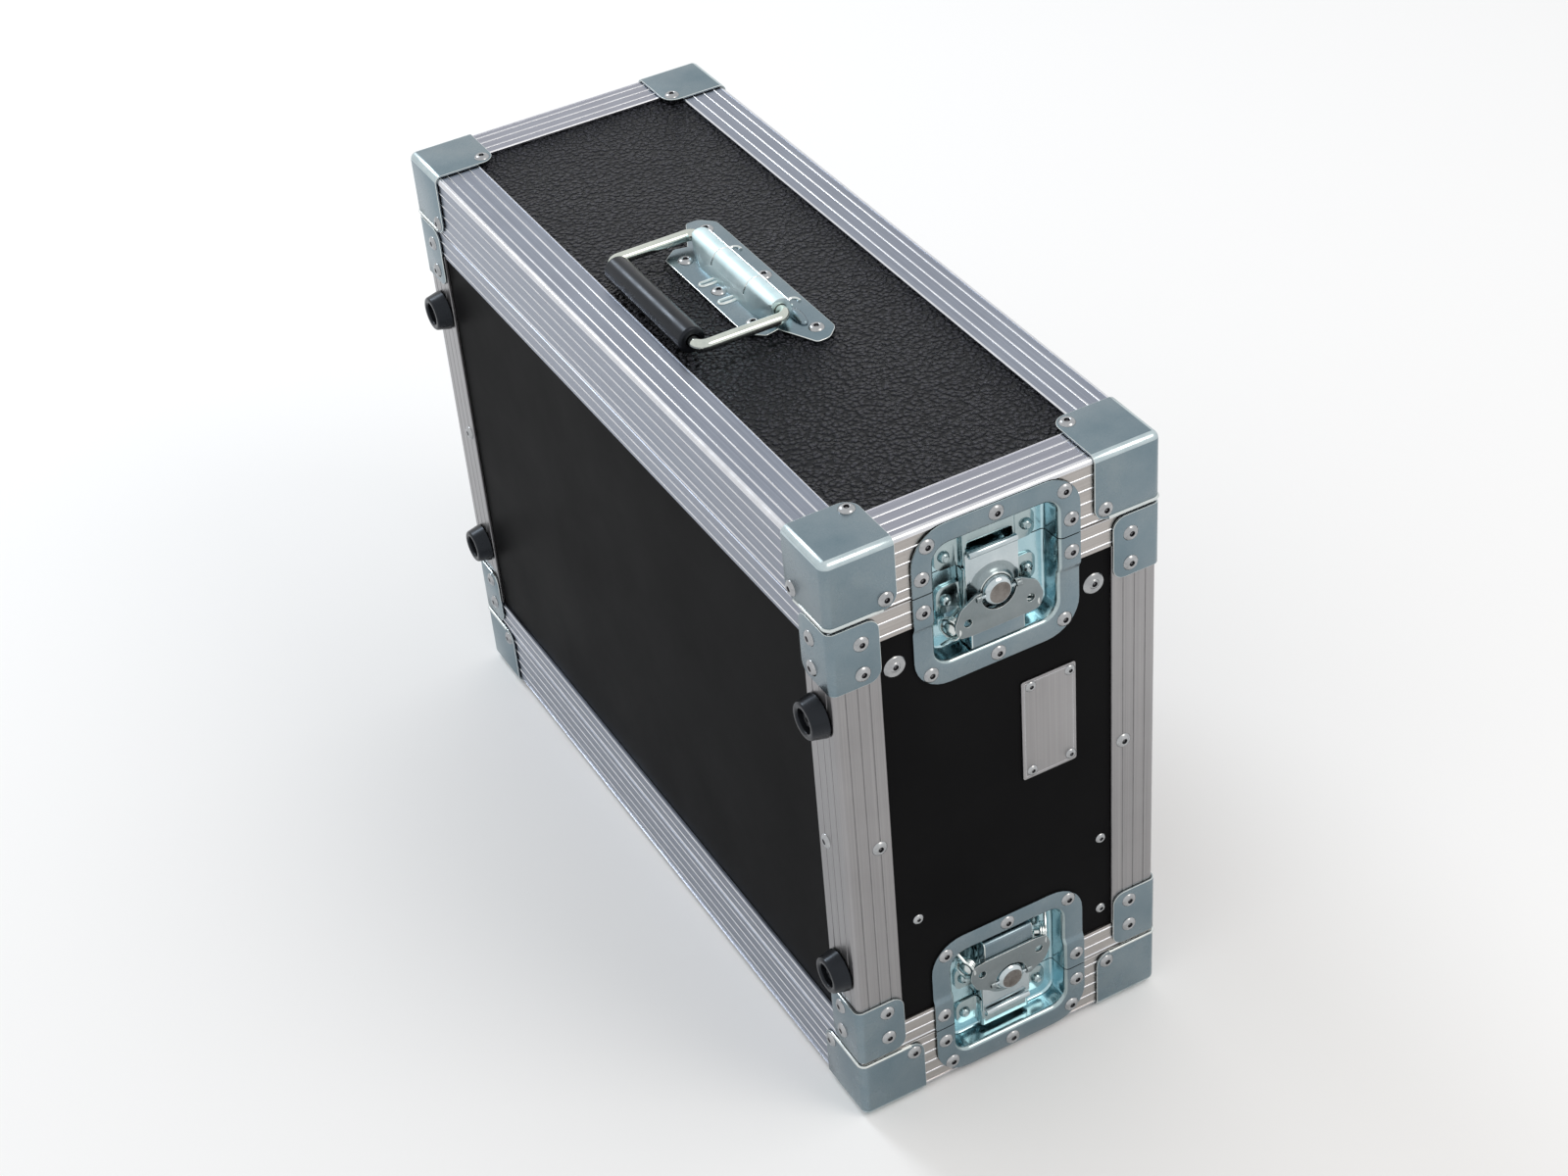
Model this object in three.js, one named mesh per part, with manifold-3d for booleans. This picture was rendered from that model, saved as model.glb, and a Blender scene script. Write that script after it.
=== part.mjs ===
// A flight case for microphones and their rack gear, standing on its rear lid.
// Millimetres, +Z up. X runs along the case, +X is an end with latches,
// and -Y is the side with the rubber feet.

import * as THREE from 'three';
import { mergeVertices } from 'three/addons/utils/BufferGeometryUtils.js';
import { RoundedBoxGeometry } from 'three/addons/geometries/RoundedBoxGeometry.js';
import Module from 'manifold-3d';

const wasm = await Module();
wasm.setup();

// Case, measured over the aluminium edging
const caseLength = 535;
const caseWidth = 208;
const caseHeight = 414;
const lidHeight = 43;
const edgeRound = 3;

// Running and seating clearance between pieces, and how far a cutter overruns
const gap = 0.3;
const overrun = 6;

// Boards and aluminium edging
const boardThickness = 7;
const edgingWidth = 30;
const edgingWall = 1.7;

// Rim around each mouth of the body, with a tongue that enters the lid
const rimWidth = 20;
const rimWeb = 2;
const rimInnerWidth = 10;
const rimInnerWall = 1.7;
const rimLipWidth = 3.5;
const rimLipHeight = 8;
const rimLipLap = 8;
const tongueWidth = 4;
const tongueHeight = 4;

// Lid edging: two walls that the tongue runs between, and a ledge for the board
const lidWall = 2;
const lidGroove = 8;
const lidLedge = 10;
const lidLedgeThickness = 2;

// Pressed steel corners and braces
const plateThickness = 1.2;
const cornerLegLength = 42;
const cornerSeamClearance = 1;
const cornerDishClearance = 9;
const cornerRound = 9;
const braceWidth = 30;
const braceHeight = 42;
const braceInset = 1.5;
const braceRound = 8;

// Rivets
const rivetRadius = 4.9;
const rivetTopRadius = 2.8;
const rivetHeight = 1.8;
const cornerRivetInset = 7;
const braceRivetEdge = 18.5;
const braceRivetInset = 13.2;
const braceRivetPitch = 20.4;
const edgingRivetInset = 8;

// Rubber feet
const footBaseRadius = 13.4;
const footEndRadius = 11.5;
const footHeight = 10.5;
const footRecessRadius = 7.3;
const footRecessDepth = 4;
const footInset = 16.5;
const footBraceClearance = 10.1;

// Rack rails inside the front mouth
const rackUnitHeight = 44.45;
const rackHole = 9.5;
const rackHoleFirst = 6.35;
const rackHolePitch = 15.875;
const rackHolesPerUnit = 3;
const railFaceWidth = 27.7;
const railHoleInset = 7.55;
const railThickness = 2;
const railDepth = 25;
const railSetBack = 29.5;
const railPadWidth = 20;
const railPadSpacing = 128;

// Bare name plate on the right end, riveted at its corners
const namePlateMiddleY = 32;
const namePlateDishClearance = 23;
const namePlateWidth = 36;
const namePlateHeight = 72;
const namePlateThickness = 1;
const namePlateRivetInset = 5;
const smallRivetRadius = 3.2;
const smallRivetTopRadius = 1.8;
const smallRivetHeight = 1.2;

// Recessed latch dish, one half in the body and one in the lid
const dishWidth = 106;
const dishBodyHeight = 67;
const dishLidHeight = 41;
const dishFlange = 14;
const dishRound = 22;
const dishDepth = 13;
const pocketRound = 10;
const dishRivetRow = 11;
const dishRivetInset = 6;
const dishCornerRivetInset = 10;

// Latch mechanism
const latchSheet = 1.5;
const latchWidth = 34;
const latchHousingHeight = 6.7;
const earWidth = 14.5;
const earHeight = 18;
const earRivetShare = 0.62;
const hubAboveTray = 35.9;
const hubRadius = 9;
const hubCapHeight = 7.4;
const hubChamfer = 2;
const shaftRadius = 4;
const collarRadius = 6;
const camRadius = 7;
const camThrow = 4;
const camRunOut = 1.2;
const hookMargin = 2.3;
const beadRadius = 2.2;
const beadAboveSeam = 9.6;
const beadMargin = 1.5;
const keeperHeight = 21;
const keeperSlotMargin = 2.5;
const keeperSlotHeight = 10;
const keeperSlotBelowBead = 3.6;
const lowerPlateClearance = 2.5;

// Butterfly wing, folding on two pins of the hub
const wingPinDepth = 2;
const wingPinRadius = 1;
const wingHubClearance = 2.2;
const knuckleWall = 0.7;
const knuckleWidth = 3;
const wingShoulderHeight = 3.1;
const wingNeckHeight = -2.8;
const wingNeckHalf = 24.5;
const wingHoleHalf = 20;
const wingHoleDrop = 13.1;
const wingHoleRadius = 2.6;
const wingLobeRadius = 8.6;
const wingFootHalf = 17.7;
const wingFootDrop = 22.7;

// Surface handle on the front lid
const gripEdgingClearance = 2.5;
const handleNearHalf = 50;
const handleFlankHalf = 58.5;
const handleWaistHalf = 56.5;
const handleEarHalf = 81.5;
const handleFarHalf = 73;
const handleNearReach = 24.2;
const handleFlankReach = 14.5;
const handleWaistReach = 6;
const handleEarReach = 6;
const handleFarReach = 23;
const handleRound = 8;
const handleSmallRound = 3;
const handleSheet = 1.5;
const handleRivetNearX = 42.5;
const handleRivetFarX = 68;
const handleRivetNearReach = 14.4;
const handleRivetMiddleReach = 16;
const handleRivetFarReach = 13;
const barrelRadius = 7.5;
const bailRodRadius = 3.75;
const bailHalf = 57.5;
const bailReach = 57;
const bailBend = 6;
const barrelShoulder = 2;
const bailStub = 8;
const gripRadius = 8.5;
const gripShoulder = 2.5;

// Facets of the round shapes
const rivetSides = 6;
const roundSides = 14;
const rodSides = 8;
const bendSteps = 2;
const bailSteps = 60;

// Levels and places worked out from the sizes above
const halfLength = caseLength / 2;
const halfWidth = caseWidth / 2;
const halfHeight = caseHeight / 2;
const seamZ = halfHeight - lidHeight;
const boardInset = edgingWall + gap;
const boardInner = boardInset + boardThickness;
const rimBottomZ = seamZ - rimWidth;
const plateOut = gap + plateThickness;
const proud = plateOut + rivetHeight;
const trayWall = plateThickness;
const trayBack = dishDepth + trayWall;
const pocketHalf = dishWidth / 2 - dishFlange;
const pocketBottom = dishFlange - dishBodyHeight;
const pocketTop = dishLidHeight - dishFlange;
const trayCutHalf = pocketHalf + trayWall + gap;
const trayCutBottom = pocketBottom - trayWall - gap;
const trayCutTop = pocketTop + trayWall + gap;
const rimLipInset = trayBack + gap;
const footOut = gap + footHeight;
const footZ = seamZ - braceInset - braceHeight - footBraceClearance - footBaseRadius;
const cornerLegWidth = halfWidth - dishWidth / 2 - cornerDishClearance;
const cornerLegHeight = lidHeight - cornerSeamClearance;
const barrelHalf = bailHalf - bailBend - barrelShoulder;
const gripHalf = bailHalf - bailBend - gripShoulder;
const handleBarrelY = edgingWidth + gripEdgingClearance + gripRadius + bailReach - halfWidth;

const metals = {
  aluminium: [0xb9bac2, 0.42, 1],
  zincSheet: [0x9fb0b6, 0.34, 1],
  zincRod: [0xc3c8c4, 0.2, 1],
  steelRail: [0x3a3b3d, 0.5, 1],
};
const finishes = {
  ...metals,
  blackBoard: [0x151517, 0.4, 0],
  leatherBoard: [0x1c1b1e, 0.6, 0],
  rubber: [0x111113, 0.75, 0],
};

// A closed geometry as a solid that can be joined and cut
function toSolid(geometry) {
  geometry.deleteAttribute('normal');
  geometry.deleteAttribute('uv');
  const merged = mergeVertices(geometry);
  const mesh = new wasm.Mesh({
    numProp: 3,
    vertProperties: new Float32Array(merged.attributes.position.array),
    triVerts: new Uint32Array(merged.index.array),
  });
  return new wasm.Manifold(mesh);
}

function toGeometry(solid) {
  const mesh = solid.getMesh();
  const geometry = new THREE.BufferGeometry();
  geometry.setAttribute('position', new THREE.BufferAttribute(mesh.vertProperties, 3));
  geometry.setIndex(new THREE.BufferAttribute(mesh.triVerts, 1));
  geometry.computeVertexNormals();
  return geometry;
}

const join = (...solids) => solids.reduce((all, solid) => all.add(solid));
const cut = (solid, ...cutters) => cutters.reduce((rest, cutter) => rest.subtract(cutter), solid);

// A straight block between two opposite corners
function block(low, high) {
  const size = high.map((value, i) => value - low[i]);
  const geometry = new THREE.BoxGeometry(...size);
  geometry.translate(...high.map((value, i) => (value + low[i]) / 2));
  return toSolid(geometry);
}

// A block with every edge rounded
function roundedBlock(low, high, radius) {
  const size = high.map((value, i) => value - low[i]);
  const geometry = new RoundedBoxGeometry(...size, bendSteps, radius);
  geometry.translate(...high.map((value, i) => (value + low[i]) / 2));
  return toSolid(geometry);
}

// A flat outline from [x, y, radius] corners, in order, each rounded by its radius
function outline(corners) {
  const shape = new THREE.Shape();
  corners.forEach(([x, y, radius = 0], i) => {
    const here = new THREE.Vector2(x, y);
    const before = new THREE.Vector2(...corners.at(i - 1)).sub(here).normalize();
    const after = new THREE.Vector2(...corners[(i + 1) % corners.length]).sub(here).normalize();
    if (radius === 0) {
      shape.lineTo(x, y);
      return;
    }
    const half = Math.acos(before.dot(after)) / 2;
    const middle = before.clone().add(after).normalize();
    const centre = here.clone().addScaledVector(middle, radius / Math.sin(half));
    const start = here.clone().addScaledVector(before, radius / Math.tan(half));
    const end = here.clone().addScaledVector(after, radius / Math.tan(half));
    const startAngle = start.clone().sub(centre).angle();
    const endAngle = end.clone().sub(centre).angle();
    const clockwise = before.cross(after) > 0;
    shape.lineTo(start.x, start.y);
    shape.absarc(centre.x, centre.y, radius, startAngle, endAngle, clockwise);
  });
  shape.curves.shift();
  shape.closePath();
  return shape;
}

// A rectangle as outline corners, with one radius at each corner from the low one round
function rectangle(x0, y0, x1, y1, radii = [0, 0, 0, 0]) {
  const places = [[x0, y0], [x1, y0], [x1, y1], [x0, y1]];
  return places.map((place, i) => [...place, radii[i]]);
}

// For each extrusion axis, where the outline's own x, y and depth point:
// an outline is drawn in y and z for x, in x and z for y, and in x and y for z
const unit = { x: new THREE.Vector3(1, 0, 0), y: new THREE.Vector3(0, 1, 0), z: new THREE.Vector3(0, 0, 1) };
const extrusionBasis = {
  x: [unit.y, unit.z, unit.x],
  y: [unit.x, unit.z, unit.y.clone().negate()],
  z: [unit.x, unit.y, unit.z],
};

// An outline extruded along one axis from one level to a higher one
function prism(corners, axis, from, to) {
  const geometry = new THREE.ExtrudeGeometry(outline(corners), {
    depth: to - from,
    bevelEnabled: false,
    curveSegments: bendSteps,
  });
  geometry.applyMatrix4(new THREE.Matrix4().makeBasis(...extrusionBasis[axis]));
  geometry.translate(...unit[axis].clone().multiplyScalar(axis === 'y' ? to : from).toArray());
  return toSolid(geometry);
}

// A round bar or cone between two points
function bar(start, end, startRadius, endRadius = startRadius, sides = roundSides) {
  const low = new THREE.Vector3(...start);
  const along = new THREE.Vector3(...end).sub(low);
  const geometry = new THREE.CylinderGeometry(endRadius, startRadius, along.length(), sides);
  geometry.translate(0, along.length() / 2, 0);
  geometry.applyQuaternion(new THREE.Quaternion().setFromUnitVectors(unit.y, along.normalize()));
  geometry.translate(...start);
  return toSolid(geometry);
}

// A rivet head on a surface point, with its root inside the sheet
const largeRivet = [rivetRadius, rivetTopRadius, rivetHeight];
const smallRivet = [smallRivetRadius, smallRivetTopRadius, smallRivetHeight];
function rivet(point, axis, [radius, topRadius, height] = largeRivet) {
  const root = new THREE.Vector3(...point).addScaledVector(unit[axis], -plateThickness / 2);
  const top = new THREE.Vector3(...point).addScaledVector(unit[axis], height);
  return bar(root.toArray(), top.toArray(), radius, topRadius, rivetSides);
}

// A rectangular ring around the case between two insets from its outer face
function ring(outerInset, innerInset, fromZ, toZ) {
  const solidAt = (inset, low, high) => block(
    [inset - halfLength, inset - halfWidth, low],
    [halfLength - inset, halfWidth - inset, high],
  );
  return solidAt(outerInset, fromZ, toZ).subtract(solidAt(innerInset, fromZ - overrun, toZ + overrun));
}

// A block at each end of the case, between two depths from the outer face and two levels
function endBlocks(fromDepth, toDepth, halfY, fromZ, toZ) {
  return join(
    block([halfLength - toDepth, -halfY, fromZ], [halfLength - fromDepth, halfY, toZ]),
    block([fromDepth - halfLength, -halfY, fromZ], [toDepth - halfLength, halfY, toZ]),
  );
}

// The space that both latch dishes take, between two levels, to a depth from the outer face
const dishCuts = (fromZ, toZ, depth) => endBlocks(-overrun, depth, trayCutHalf, fromZ, toZ);

const caseForm = roundedBlock(
  [-halfLength, -halfWidth, -halfHeight],
  [halfLength, halfWidth, halfHeight],
  edgeRound,
);

const caseGroup = new THREE.Group();
caseGroup.position.set(0, (footOut - proud) / 2, halfHeight + proud);

function addPiece(name, solid, finish, parent = caseGroup) {
  const [color, roughness, metalness] = finishes[finish];
  const material = new THREE.MeshStandardMaterial({ color, roughness, metalness });
  const mesh = new THREE.Mesh(toGeometry(solid), material);
  mesh.name = name;
  parent.add(mesh);
  return mesh;
}

// Sides, ends and lids by the sign of the axis that they lie along
const xNames = { 1: 'right', [-1]: 'left' };
const yNames = { 1: 'back', [-1]: 'feet_side' };
const lidNames = { 1: 'front', [-1]: 'rear' };
const signs = [1, -1];

// The four boards of the body

function buildBoards() {
  const halfZ = seamZ - gap / 2 - rimWeb - gap;
  const longHalf = halfLength - boardInset;
  const endHalf = halfWidth - boardInner - gap;
  const longBoard = block(
    [-longHalf, halfWidth - boardInner, -halfZ],
    [longHalf, halfWidth - boardInset, halfZ],
  );
  const board = block(
    [halfLength - boardInner, -endHalf, -halfZ],
    [halfLength - boardInset, endHalf, halfZ],
  );
  const endBoard = cut(
    board,
    dishCuts(seamZ + trayCutBottom, seamZ, boardInner + overrun),
    dishCuts(-seamZ, -seamZ - trayCutBottom, boardInner + overrun),
  );
  for (const side of signs) {
    addPiece(`body_panel_${yNames[side]}`, longBoard, 'blackBoard').scale.y = side;
    addPiece(`end_panel_${xNames[side]}`, endBoard, 'blackBoard').scale.x = side;
  }
}

// The angle along each upright edge of the body, riveted through both flanges

function buildEdgeAngles() {
  const halfZ = rimBottomZ - gap;
  const angle = prism([
    [-edgingWidth, -edgingWall],
    [-edgingWall, -edgingWall],
    [-edgingWall, -edgingWidth],
    [0, -edgingWidth],
    [0, 0, edgeRound],
    [-edgingWidth, 0],
  ], 'z', -halfZ, halfZ);
  const rivetEdge = edgingWidth - edgingRivetInset;
  const riveted = join(angle, rivet([0, -rivetEdge, 0], 'x'), rivet([-rivetEdge, 0, 0], 'y'));
  for (const x of signs) {
    for (const y of signs) {
      const mesh = addPiece(`edge_angle_${xNames[x]}_${yNames[y]}`, riveted, 'aluminium');
      mesh.position.set(x * halfLength, y * halfWidth, 0);
      mesh.scale.set(x, y, 1);
    }
  }
}

// The rim around each mouth: flanges over the boards, a web across their ends, and the tongue.
// At each end a lip carries the rim past the back of the latch dish.

function buildRims() {
  const top = seamZ - gap / 2;
  const tongueInset = lidWall + (lidGroove - tongueWidth) / 2;
  const innerFlange = boardInner + gap;
  const webEnd = innerFlange + rimInnerWall;
  const lipEnd = rimLipInset + rimLipWidth;
  const profile = join(
    ring(0, edgingWall, rimBottomZ, top),
    ring(0, webEnd, top - rimWeb, top),
    ring(innerFlange, webEnd, seamZ - rimInnerWidth, top),
    ring(tongueInset, tongueInset + tongueWidth, top - rimWeb, seamZ + tongueHeight),
    endBlocks(innerFlange, lipEnd, trayCutHalf + rimLipLap, seamZ - rimLipHeight, top),
  );
  const cuts = dishCuts(rimBottomZ - overrun, seamZ + tongueHeight + overrun, rimLipInset);
  const rim = cut(profile.intersect(caseForm), cuts);
  for (const z of signs) {
    addPiece(`${lidNames[z]}_rim`, rim, 'aluminium').scale.z = z;
  }
}

// Corner braces on the body: two legs bent round the upright edge, two rivets in each

function buildBraces() {
  const reach = braceWidth + overrun;
  const high = -braceInset;
  const low = high - braceHeight;
  const corner = (offset) => prism(
    rectangle(-reach, -reach, offset, offset, [0, 0, edgeRound + offset, 0]),
    'z', low, high,
  );
  const leg = rectangle(-braceWidth, low, plateOut, high, [braceRound, 0, 0, braceRound]);
  const legs = join(prism(leg, 'x', -edgeRound, plateOut), prism(leg, 'y', -edgeRound, plateOut));
  const heights = [-braceRivetInset - braceInset, -braceRivetInset - braceInset - braceRivetPitch];
  const rivets = heights.flatMap((z) => [
    rivet([plateOut, -braceRivetEdge, z], 'x'),
    rivet([-braceRivetEdge, plateOut, z], 'y'),
  ]);
  const brace = join(cut(corner(plateOut), corner(gap)).intersect(legs), ...rivets);
  for (const x of signs) {
    for (const y of signs) {
      for (const z of signs) {
        const mesh = addPiece(`brace_${lidNames[z]}_${xNames[x]}_${yNames[y]}`, brace, 'zincSheet');
        mesh.position.set(x * halfLength, y * halfWidth, z * seamZ);
        mesh.scale.set(x, y, z);
      }
    }
  }
}

// Lid edging in one frame: flange over the board, outer and inner walls, and the ledge under the board

function buildLids() {
  const slotTop = halfHeight - edgingWall;
  const slotBottom = halfHeight - boardInner - gap;
  const ledgeBottom = slotBottom - lidLedgeThickness;
  const bottom = seamZ + gap / 2;
  const innerWall = lidWall + lidGroove;
  const profile = join(
    ring(0, lidWall, bottom, halfHeight),
    ring(0, edgingWidth, slotTop, halfHeight),
    ring(0, innerWall + lidLedge, ledgeBottom, slotBottom),
    ring(innerWall, innerWall + lidWall, bottom, slotBottom),
  );
  const cuts = dishCuts(seamZ - overrun, seamZ + trayCutTop, trayBack + gap);
  const frame = cut(profile.intersect(caseForm), cuts);
  const boardEdge = lidWall + gap;
  const board = block(
    [boardEdge - halfLength, boardEdge - halfWidth, halfHeight - boardInner],
    [halfLength - boardEdge, halfWidth - boardEdge, halfHeight - boardInset],
  );
  for (const z of signs) {
    addPiece(`${lidNames[z]}_lid_edging`, frame, 'aluminium').scale.z = z;
    addPiece(`${lidNames[z]}_lid_panel`, board, 'leatherBoard').scale.z = z;
  }
}

// Three-legged corner caps on the lids, one rivet in each leg

function buildLidCorners() {
  const legEnds = [cornerLegLength, cornerLegWidth, cornerLegHeight];
  const [endX, endY, endZ] = legEnds.map((leg) => -leg);
  const [rivetX, rivetY, rivetZ] = legEnds.map((leg) => cornerRivetInset - leg);
  const form = (offset) => roundedBlock(
    legEnds.map((leg) => -leg - overrun),
    Array(3).fill(offset),
    edgeRound + offset,
  );
  const radii = [cornerRound, 0, 0, 0];
  const legs = join(
    prism(rectangle(endY, endZ, plateOut, plateOut, radii), 'x', -edgeRound, plateOut),
    prism(rectangle(endX, endZ, plateOut, plateOut, radii), 'y', -edgeRound, plateOut),
    prism(rectangle(endX, endY, plateOut, plateOut, radii), 'z', -edgeRound, plateOut),
  );
  const cap = join(
    cut(form(plateOut), form(gap)).intersect(legs),
    rivet([plateOut, rivetY, rivetZ], 'x'),
    rivet([rivetX, plateOut, rivetZ], 'y'),
    rivet([rivetX, rivetY, plateOut], 'z'),
  );
  for (const x of signs) {
    for (const y of signs) {
      for (const z of signs) {
        const mesh = addPiece(`lid_corner_${lidNames[z]}_${xNames[x]}_${yNames[y]}`, cap, 'zincSheet');
        mesh.position.set(x * halfLength, y * halfWidth, z * halfHeight);
        mesh.scale.set(x, y, z);
      }
    }
  }
}

// Rubber feet: tapered, with a screw recess in the end

function buildFeet() {
  const profile = [
    [0, 0],
    [footBaseRadius, 0],
    [footEndRadius, footHeight],
    [footRecessRadius, footHeight],
    [footRecessRadius, footHeight - footRecessDepth],
    [0, footHeight - footRecessDepth],
  ].map(([radius, height]) => new THREE.Vector2(radius, height));
  const turned = new THREE.LatheGeometry(profile, roundSides);
  turned.rotateX(Math.PI);
  const foot = toSolid(turned);
  for (const x of signs) {
    for (const z of signs) {
      const mesh = addPiece(`foot_${lidNames[z]}_${xNames[x]}`, foot, 'rubber');
      mesh.position.set(x * (halfLength - footInset), -halfWidth - gap, z * footZ);
    }
  }
}

// Rack rails: steel angles with square holes, on pads that clear the latch dishes

function buildRackRails() {
  const faceZ = seamZ - railSetBack;
  const backX = halfLength - rimLipInset - gap;
  const frontX = backX - railFaceWidth;
  const halfY = halfWidth - boardInner - gap;
  const face = block([frontX, -halfY, faceZ - railThickness], [backX, halfY, faceZ]);
  const side = block([backX - railThickness, -halfY, faceZ - railDepth], [backX, halfY, faceZ]);
  const pads = signs.map((y) => {
    const centre = y * railPadSpacing / 2;
    return block(
      [backX - railThickness / 2, centre - railPadWidth / 2, faceZ - railDepth],
      [halfLength - boardInner - gap, centre + railPadWidth / 2, faceZ],
    );
  });
  const units = Math.floor(2 * halfY / rackUnitHeight);
  const holes = [];
  for (let unitIndex = 0; unitIndex < units; unitIndex += 1) {
    for (let hole = 0; hole < rackHolesPerUnit; hole += 1) {
      const y = (unitIndex - units / 2) * rackUnitHeight + rackHoleFirst + hole * rackHolePitch;
      const x = frontX + railHoleInset;
      holes.push(block(
        [x - rackHole / 2, y - rackHole / 2, faceZ - railThickness - overrun],
        [x + rackHole / 2, y + rackHole / 2, faceZ + overrun],
      ));
    }
  }
  const rail = cut(join(face, side, ...pads), ...holes);
  for (const x of signs) {
    addPiece(`rack_rail_${xNames[x]}`, rail, 'steelRail').scale.x = x;
  }
}

// The name plate, bare, on the right end board

function buildNamePlate() {
  const back = halfLength - boardInset + gap;
  const front = back + namePlateThickness;
  const top = seamZ - dishBodyHeight - namePlateDishClearance;
  const low = [namePlateMiddleY - namePlateWidth / 2, top - namePlateHeight];
  const high = [namePlateMiddleY + namePlateWidth / 2, top];
  const rivets = [low[0] + namePlateRivetInset, high[0] - namePlateRivetInset].flatMap((y) => (
    [low[1] + namePlateRivetInset, high[1] - namePlateRivetInset].map((z) => (
      rivet([front, y, z], 'x', smallRivet)
    ))
  ));
  const plate = block([back, ...low], [front, ...high]);
  addPiece('name_plate', join(plate, ...rivets), 'aluminium');
}

// The latches. Each is built at the seam, on the case's outer face: x points out
// of the case, y along the seam, and z towards the lid.

const housingTop = latchHousingHeight - dishDepth;
const hookBottom = housingTop + gap;
const hookTop = hookBottom + latchSheet;
const capBottom = hookTop + gap;
const capTop = capBottom + hubCapHeight;
const wingLevel = capTop - wingPinDepth;
const hubZ = pocketBottom + hubAboveTray;
const camZ = hubZ - camThrow;
const camWindowHalf = camRadius + camRunOut;
const hookPlateEnd = camZ - camWindowHalf - hookMargin;
const lowerPlateTop = wingLevel - latchSheet / 2 - gap;
const wingClearRadius = hubRadius + wingHubClearance;
const flangeStep = -rimWidth - gap;

// One half of the dish: a flange that steps down to the board, and the tray
function dishHalf(seamEdge, farEdge, pocketFar) {
  const low = Math.min(seamEdge, farEdge);
  const high = Math.max(seamEdge, farEdge);
  const radii = farEdge < 0 ? [dishRound, dishRound, 0, 0] : [0, 0, dishRound, dishRound];
  const pocketRadii = radii.map((radius) => Math.min(radius, pocketRound));
  const trayRadii = radii.map((radius) => Math.min(radius, pocketRound + trayWall));
  const half = dishWidth / 2;
  const flangeForm = rectangle(-half, low, half, high, radii);
  const flangeBetween = (from, to, fromZ, toZ) => (
    prism(flangeForm, 'x', from, to).intersect(block([from, -half, fromZ], [to, half, toZ]))
  );
  const sunk = boardInset - gap;
  const flange = join(
    flangeBetween(gap, plateOut, flangeStep - plateThickness, high),
    flangeBetween(-sunk, plateOut, flangeStep - plateThickness, flangeStep),
    flangeBetween(-sunk, plateThickness - sunk, low - overrun, flangeStep),
  );
  const wide = pocketHalf + trayWall;
  const trayFar = pocketFar + Math.sign(pocketFar) * trayWall;
  const tray = prism(
    rectangle(-wide, Math.min(seamEdge, trayFar), wide, Math.max(seamEdge, trayFar), trayRadii),
    'x', -trayBack, farEdge < 0 ? -sunk + plateThickness / 2 : gap + plateThickness / 2,
  );
  const rimTray = block(
    [-trayBack, -wide, Math.max(seamEdge - rimWidth, low)],
    [gap + plateThickness / 2, wide, high],
  );
  const pastSeam = seamEdge - Math.sign(farEdge) * overrun;
  const pocketLow = Math.min(pastSeam, pocketFar);
  const pocketHigh = Math.max(pastSeam, pocketFar);
  const pocketForm = rectangle(-pocketHalf, pocketLow, pocketHalf, pocketHigh, pocketRadii);
  const pocket = prism(pocketForm, 'x', -dishDepth, overrun);
  const body = farEdge < 0 ? join(flange, tray, rimTray) : join(flange, tray);
  return cut(body, pocket);
}

function dishRivets(direction, farEdge) {
  const sideX = dishWidth / 2 - dishRivetInset;
  const cornerX = dishWidth / 2 - dishCornerRivetInset;
  const cornerZ = farEdge - direction * dishCornerRivetInset;
  const level = direction > 0 ? plateOut : plateThickness + gap - boardInset;
  return [
    ...signs.map((y) => rivet([plateOut, y * sideX, direction * dishRivetRow], 'x')),
    ...signs.map((y) => rivet([level, y * cornerX, cornerZ], 'x')),
    rivet([level, 0, farEdge - direction * dishRivetInset], 'x'),
  ];
}

// A channel on the dish floor with an ear at each side
function channel(fromZ, toZ, earFromZ, earToZ) {
  const half = latchWidth / 2;
  const floor = -dishDepth - trayWall / 2;
  const top = block([housingTop - latchSheet, -half, fromZ], [housingTop, half, toZ]);
  const parts = signs.flatMap((y) => {
    const inner = y * (half - latchSheet);
    const outer = y * half;
    const earEnd = y * (half + earWidth);
    const wall = block([floor, Math.min(inner, outer), fromZ], [housingTop, Math.max(inner, outer), toZ]);
    const ear = block(
      [floor, Math.min(inner, earEnd), earFromZ],
      [latchSheet - dishDepth, Math.max(inner, earEnd), earToZ],
    );
    const middleZ = (earFromZ + earToZ) / 2;
    const head = rivet([latchSheet - dishDepth, y * (half + earWidth * earRivetShare), middleZ], 'x');
    return [wall, ear, head];
  });
  return join(top, ...parts);
}

function bodyDish() {
  const seamEdge = -gap / 2;
  const housingEnd = pocketBottom + latchSheet;
  const earTop = hubZ + earHeight / 3;
  const shaftHole = bar([housingTop - overrun, 0, hubZ], [housingTop + overrun, 0, hubZ], shaftRadius + gap);
  const housing = cut(channel(housingEnd, seamEdge - latchSheet, earTop - earHeight, earTop), shaftHole);
  const lowerPlate = block(
    [housingTop - latchSheet / 2, -latchWidth / 2, housingEnd],
    [lowerPlateTop, latchWidth / 2, hookPlateEnd - lowerPlateClearance],
  );
  return join(
    dishHalf(seamEdge, -dishBodyHeight, pocketBottom),
    ...dishRivets(-1, -dishBodyHeight),
    housing,
    lowerPlate,
  );
}

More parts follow.
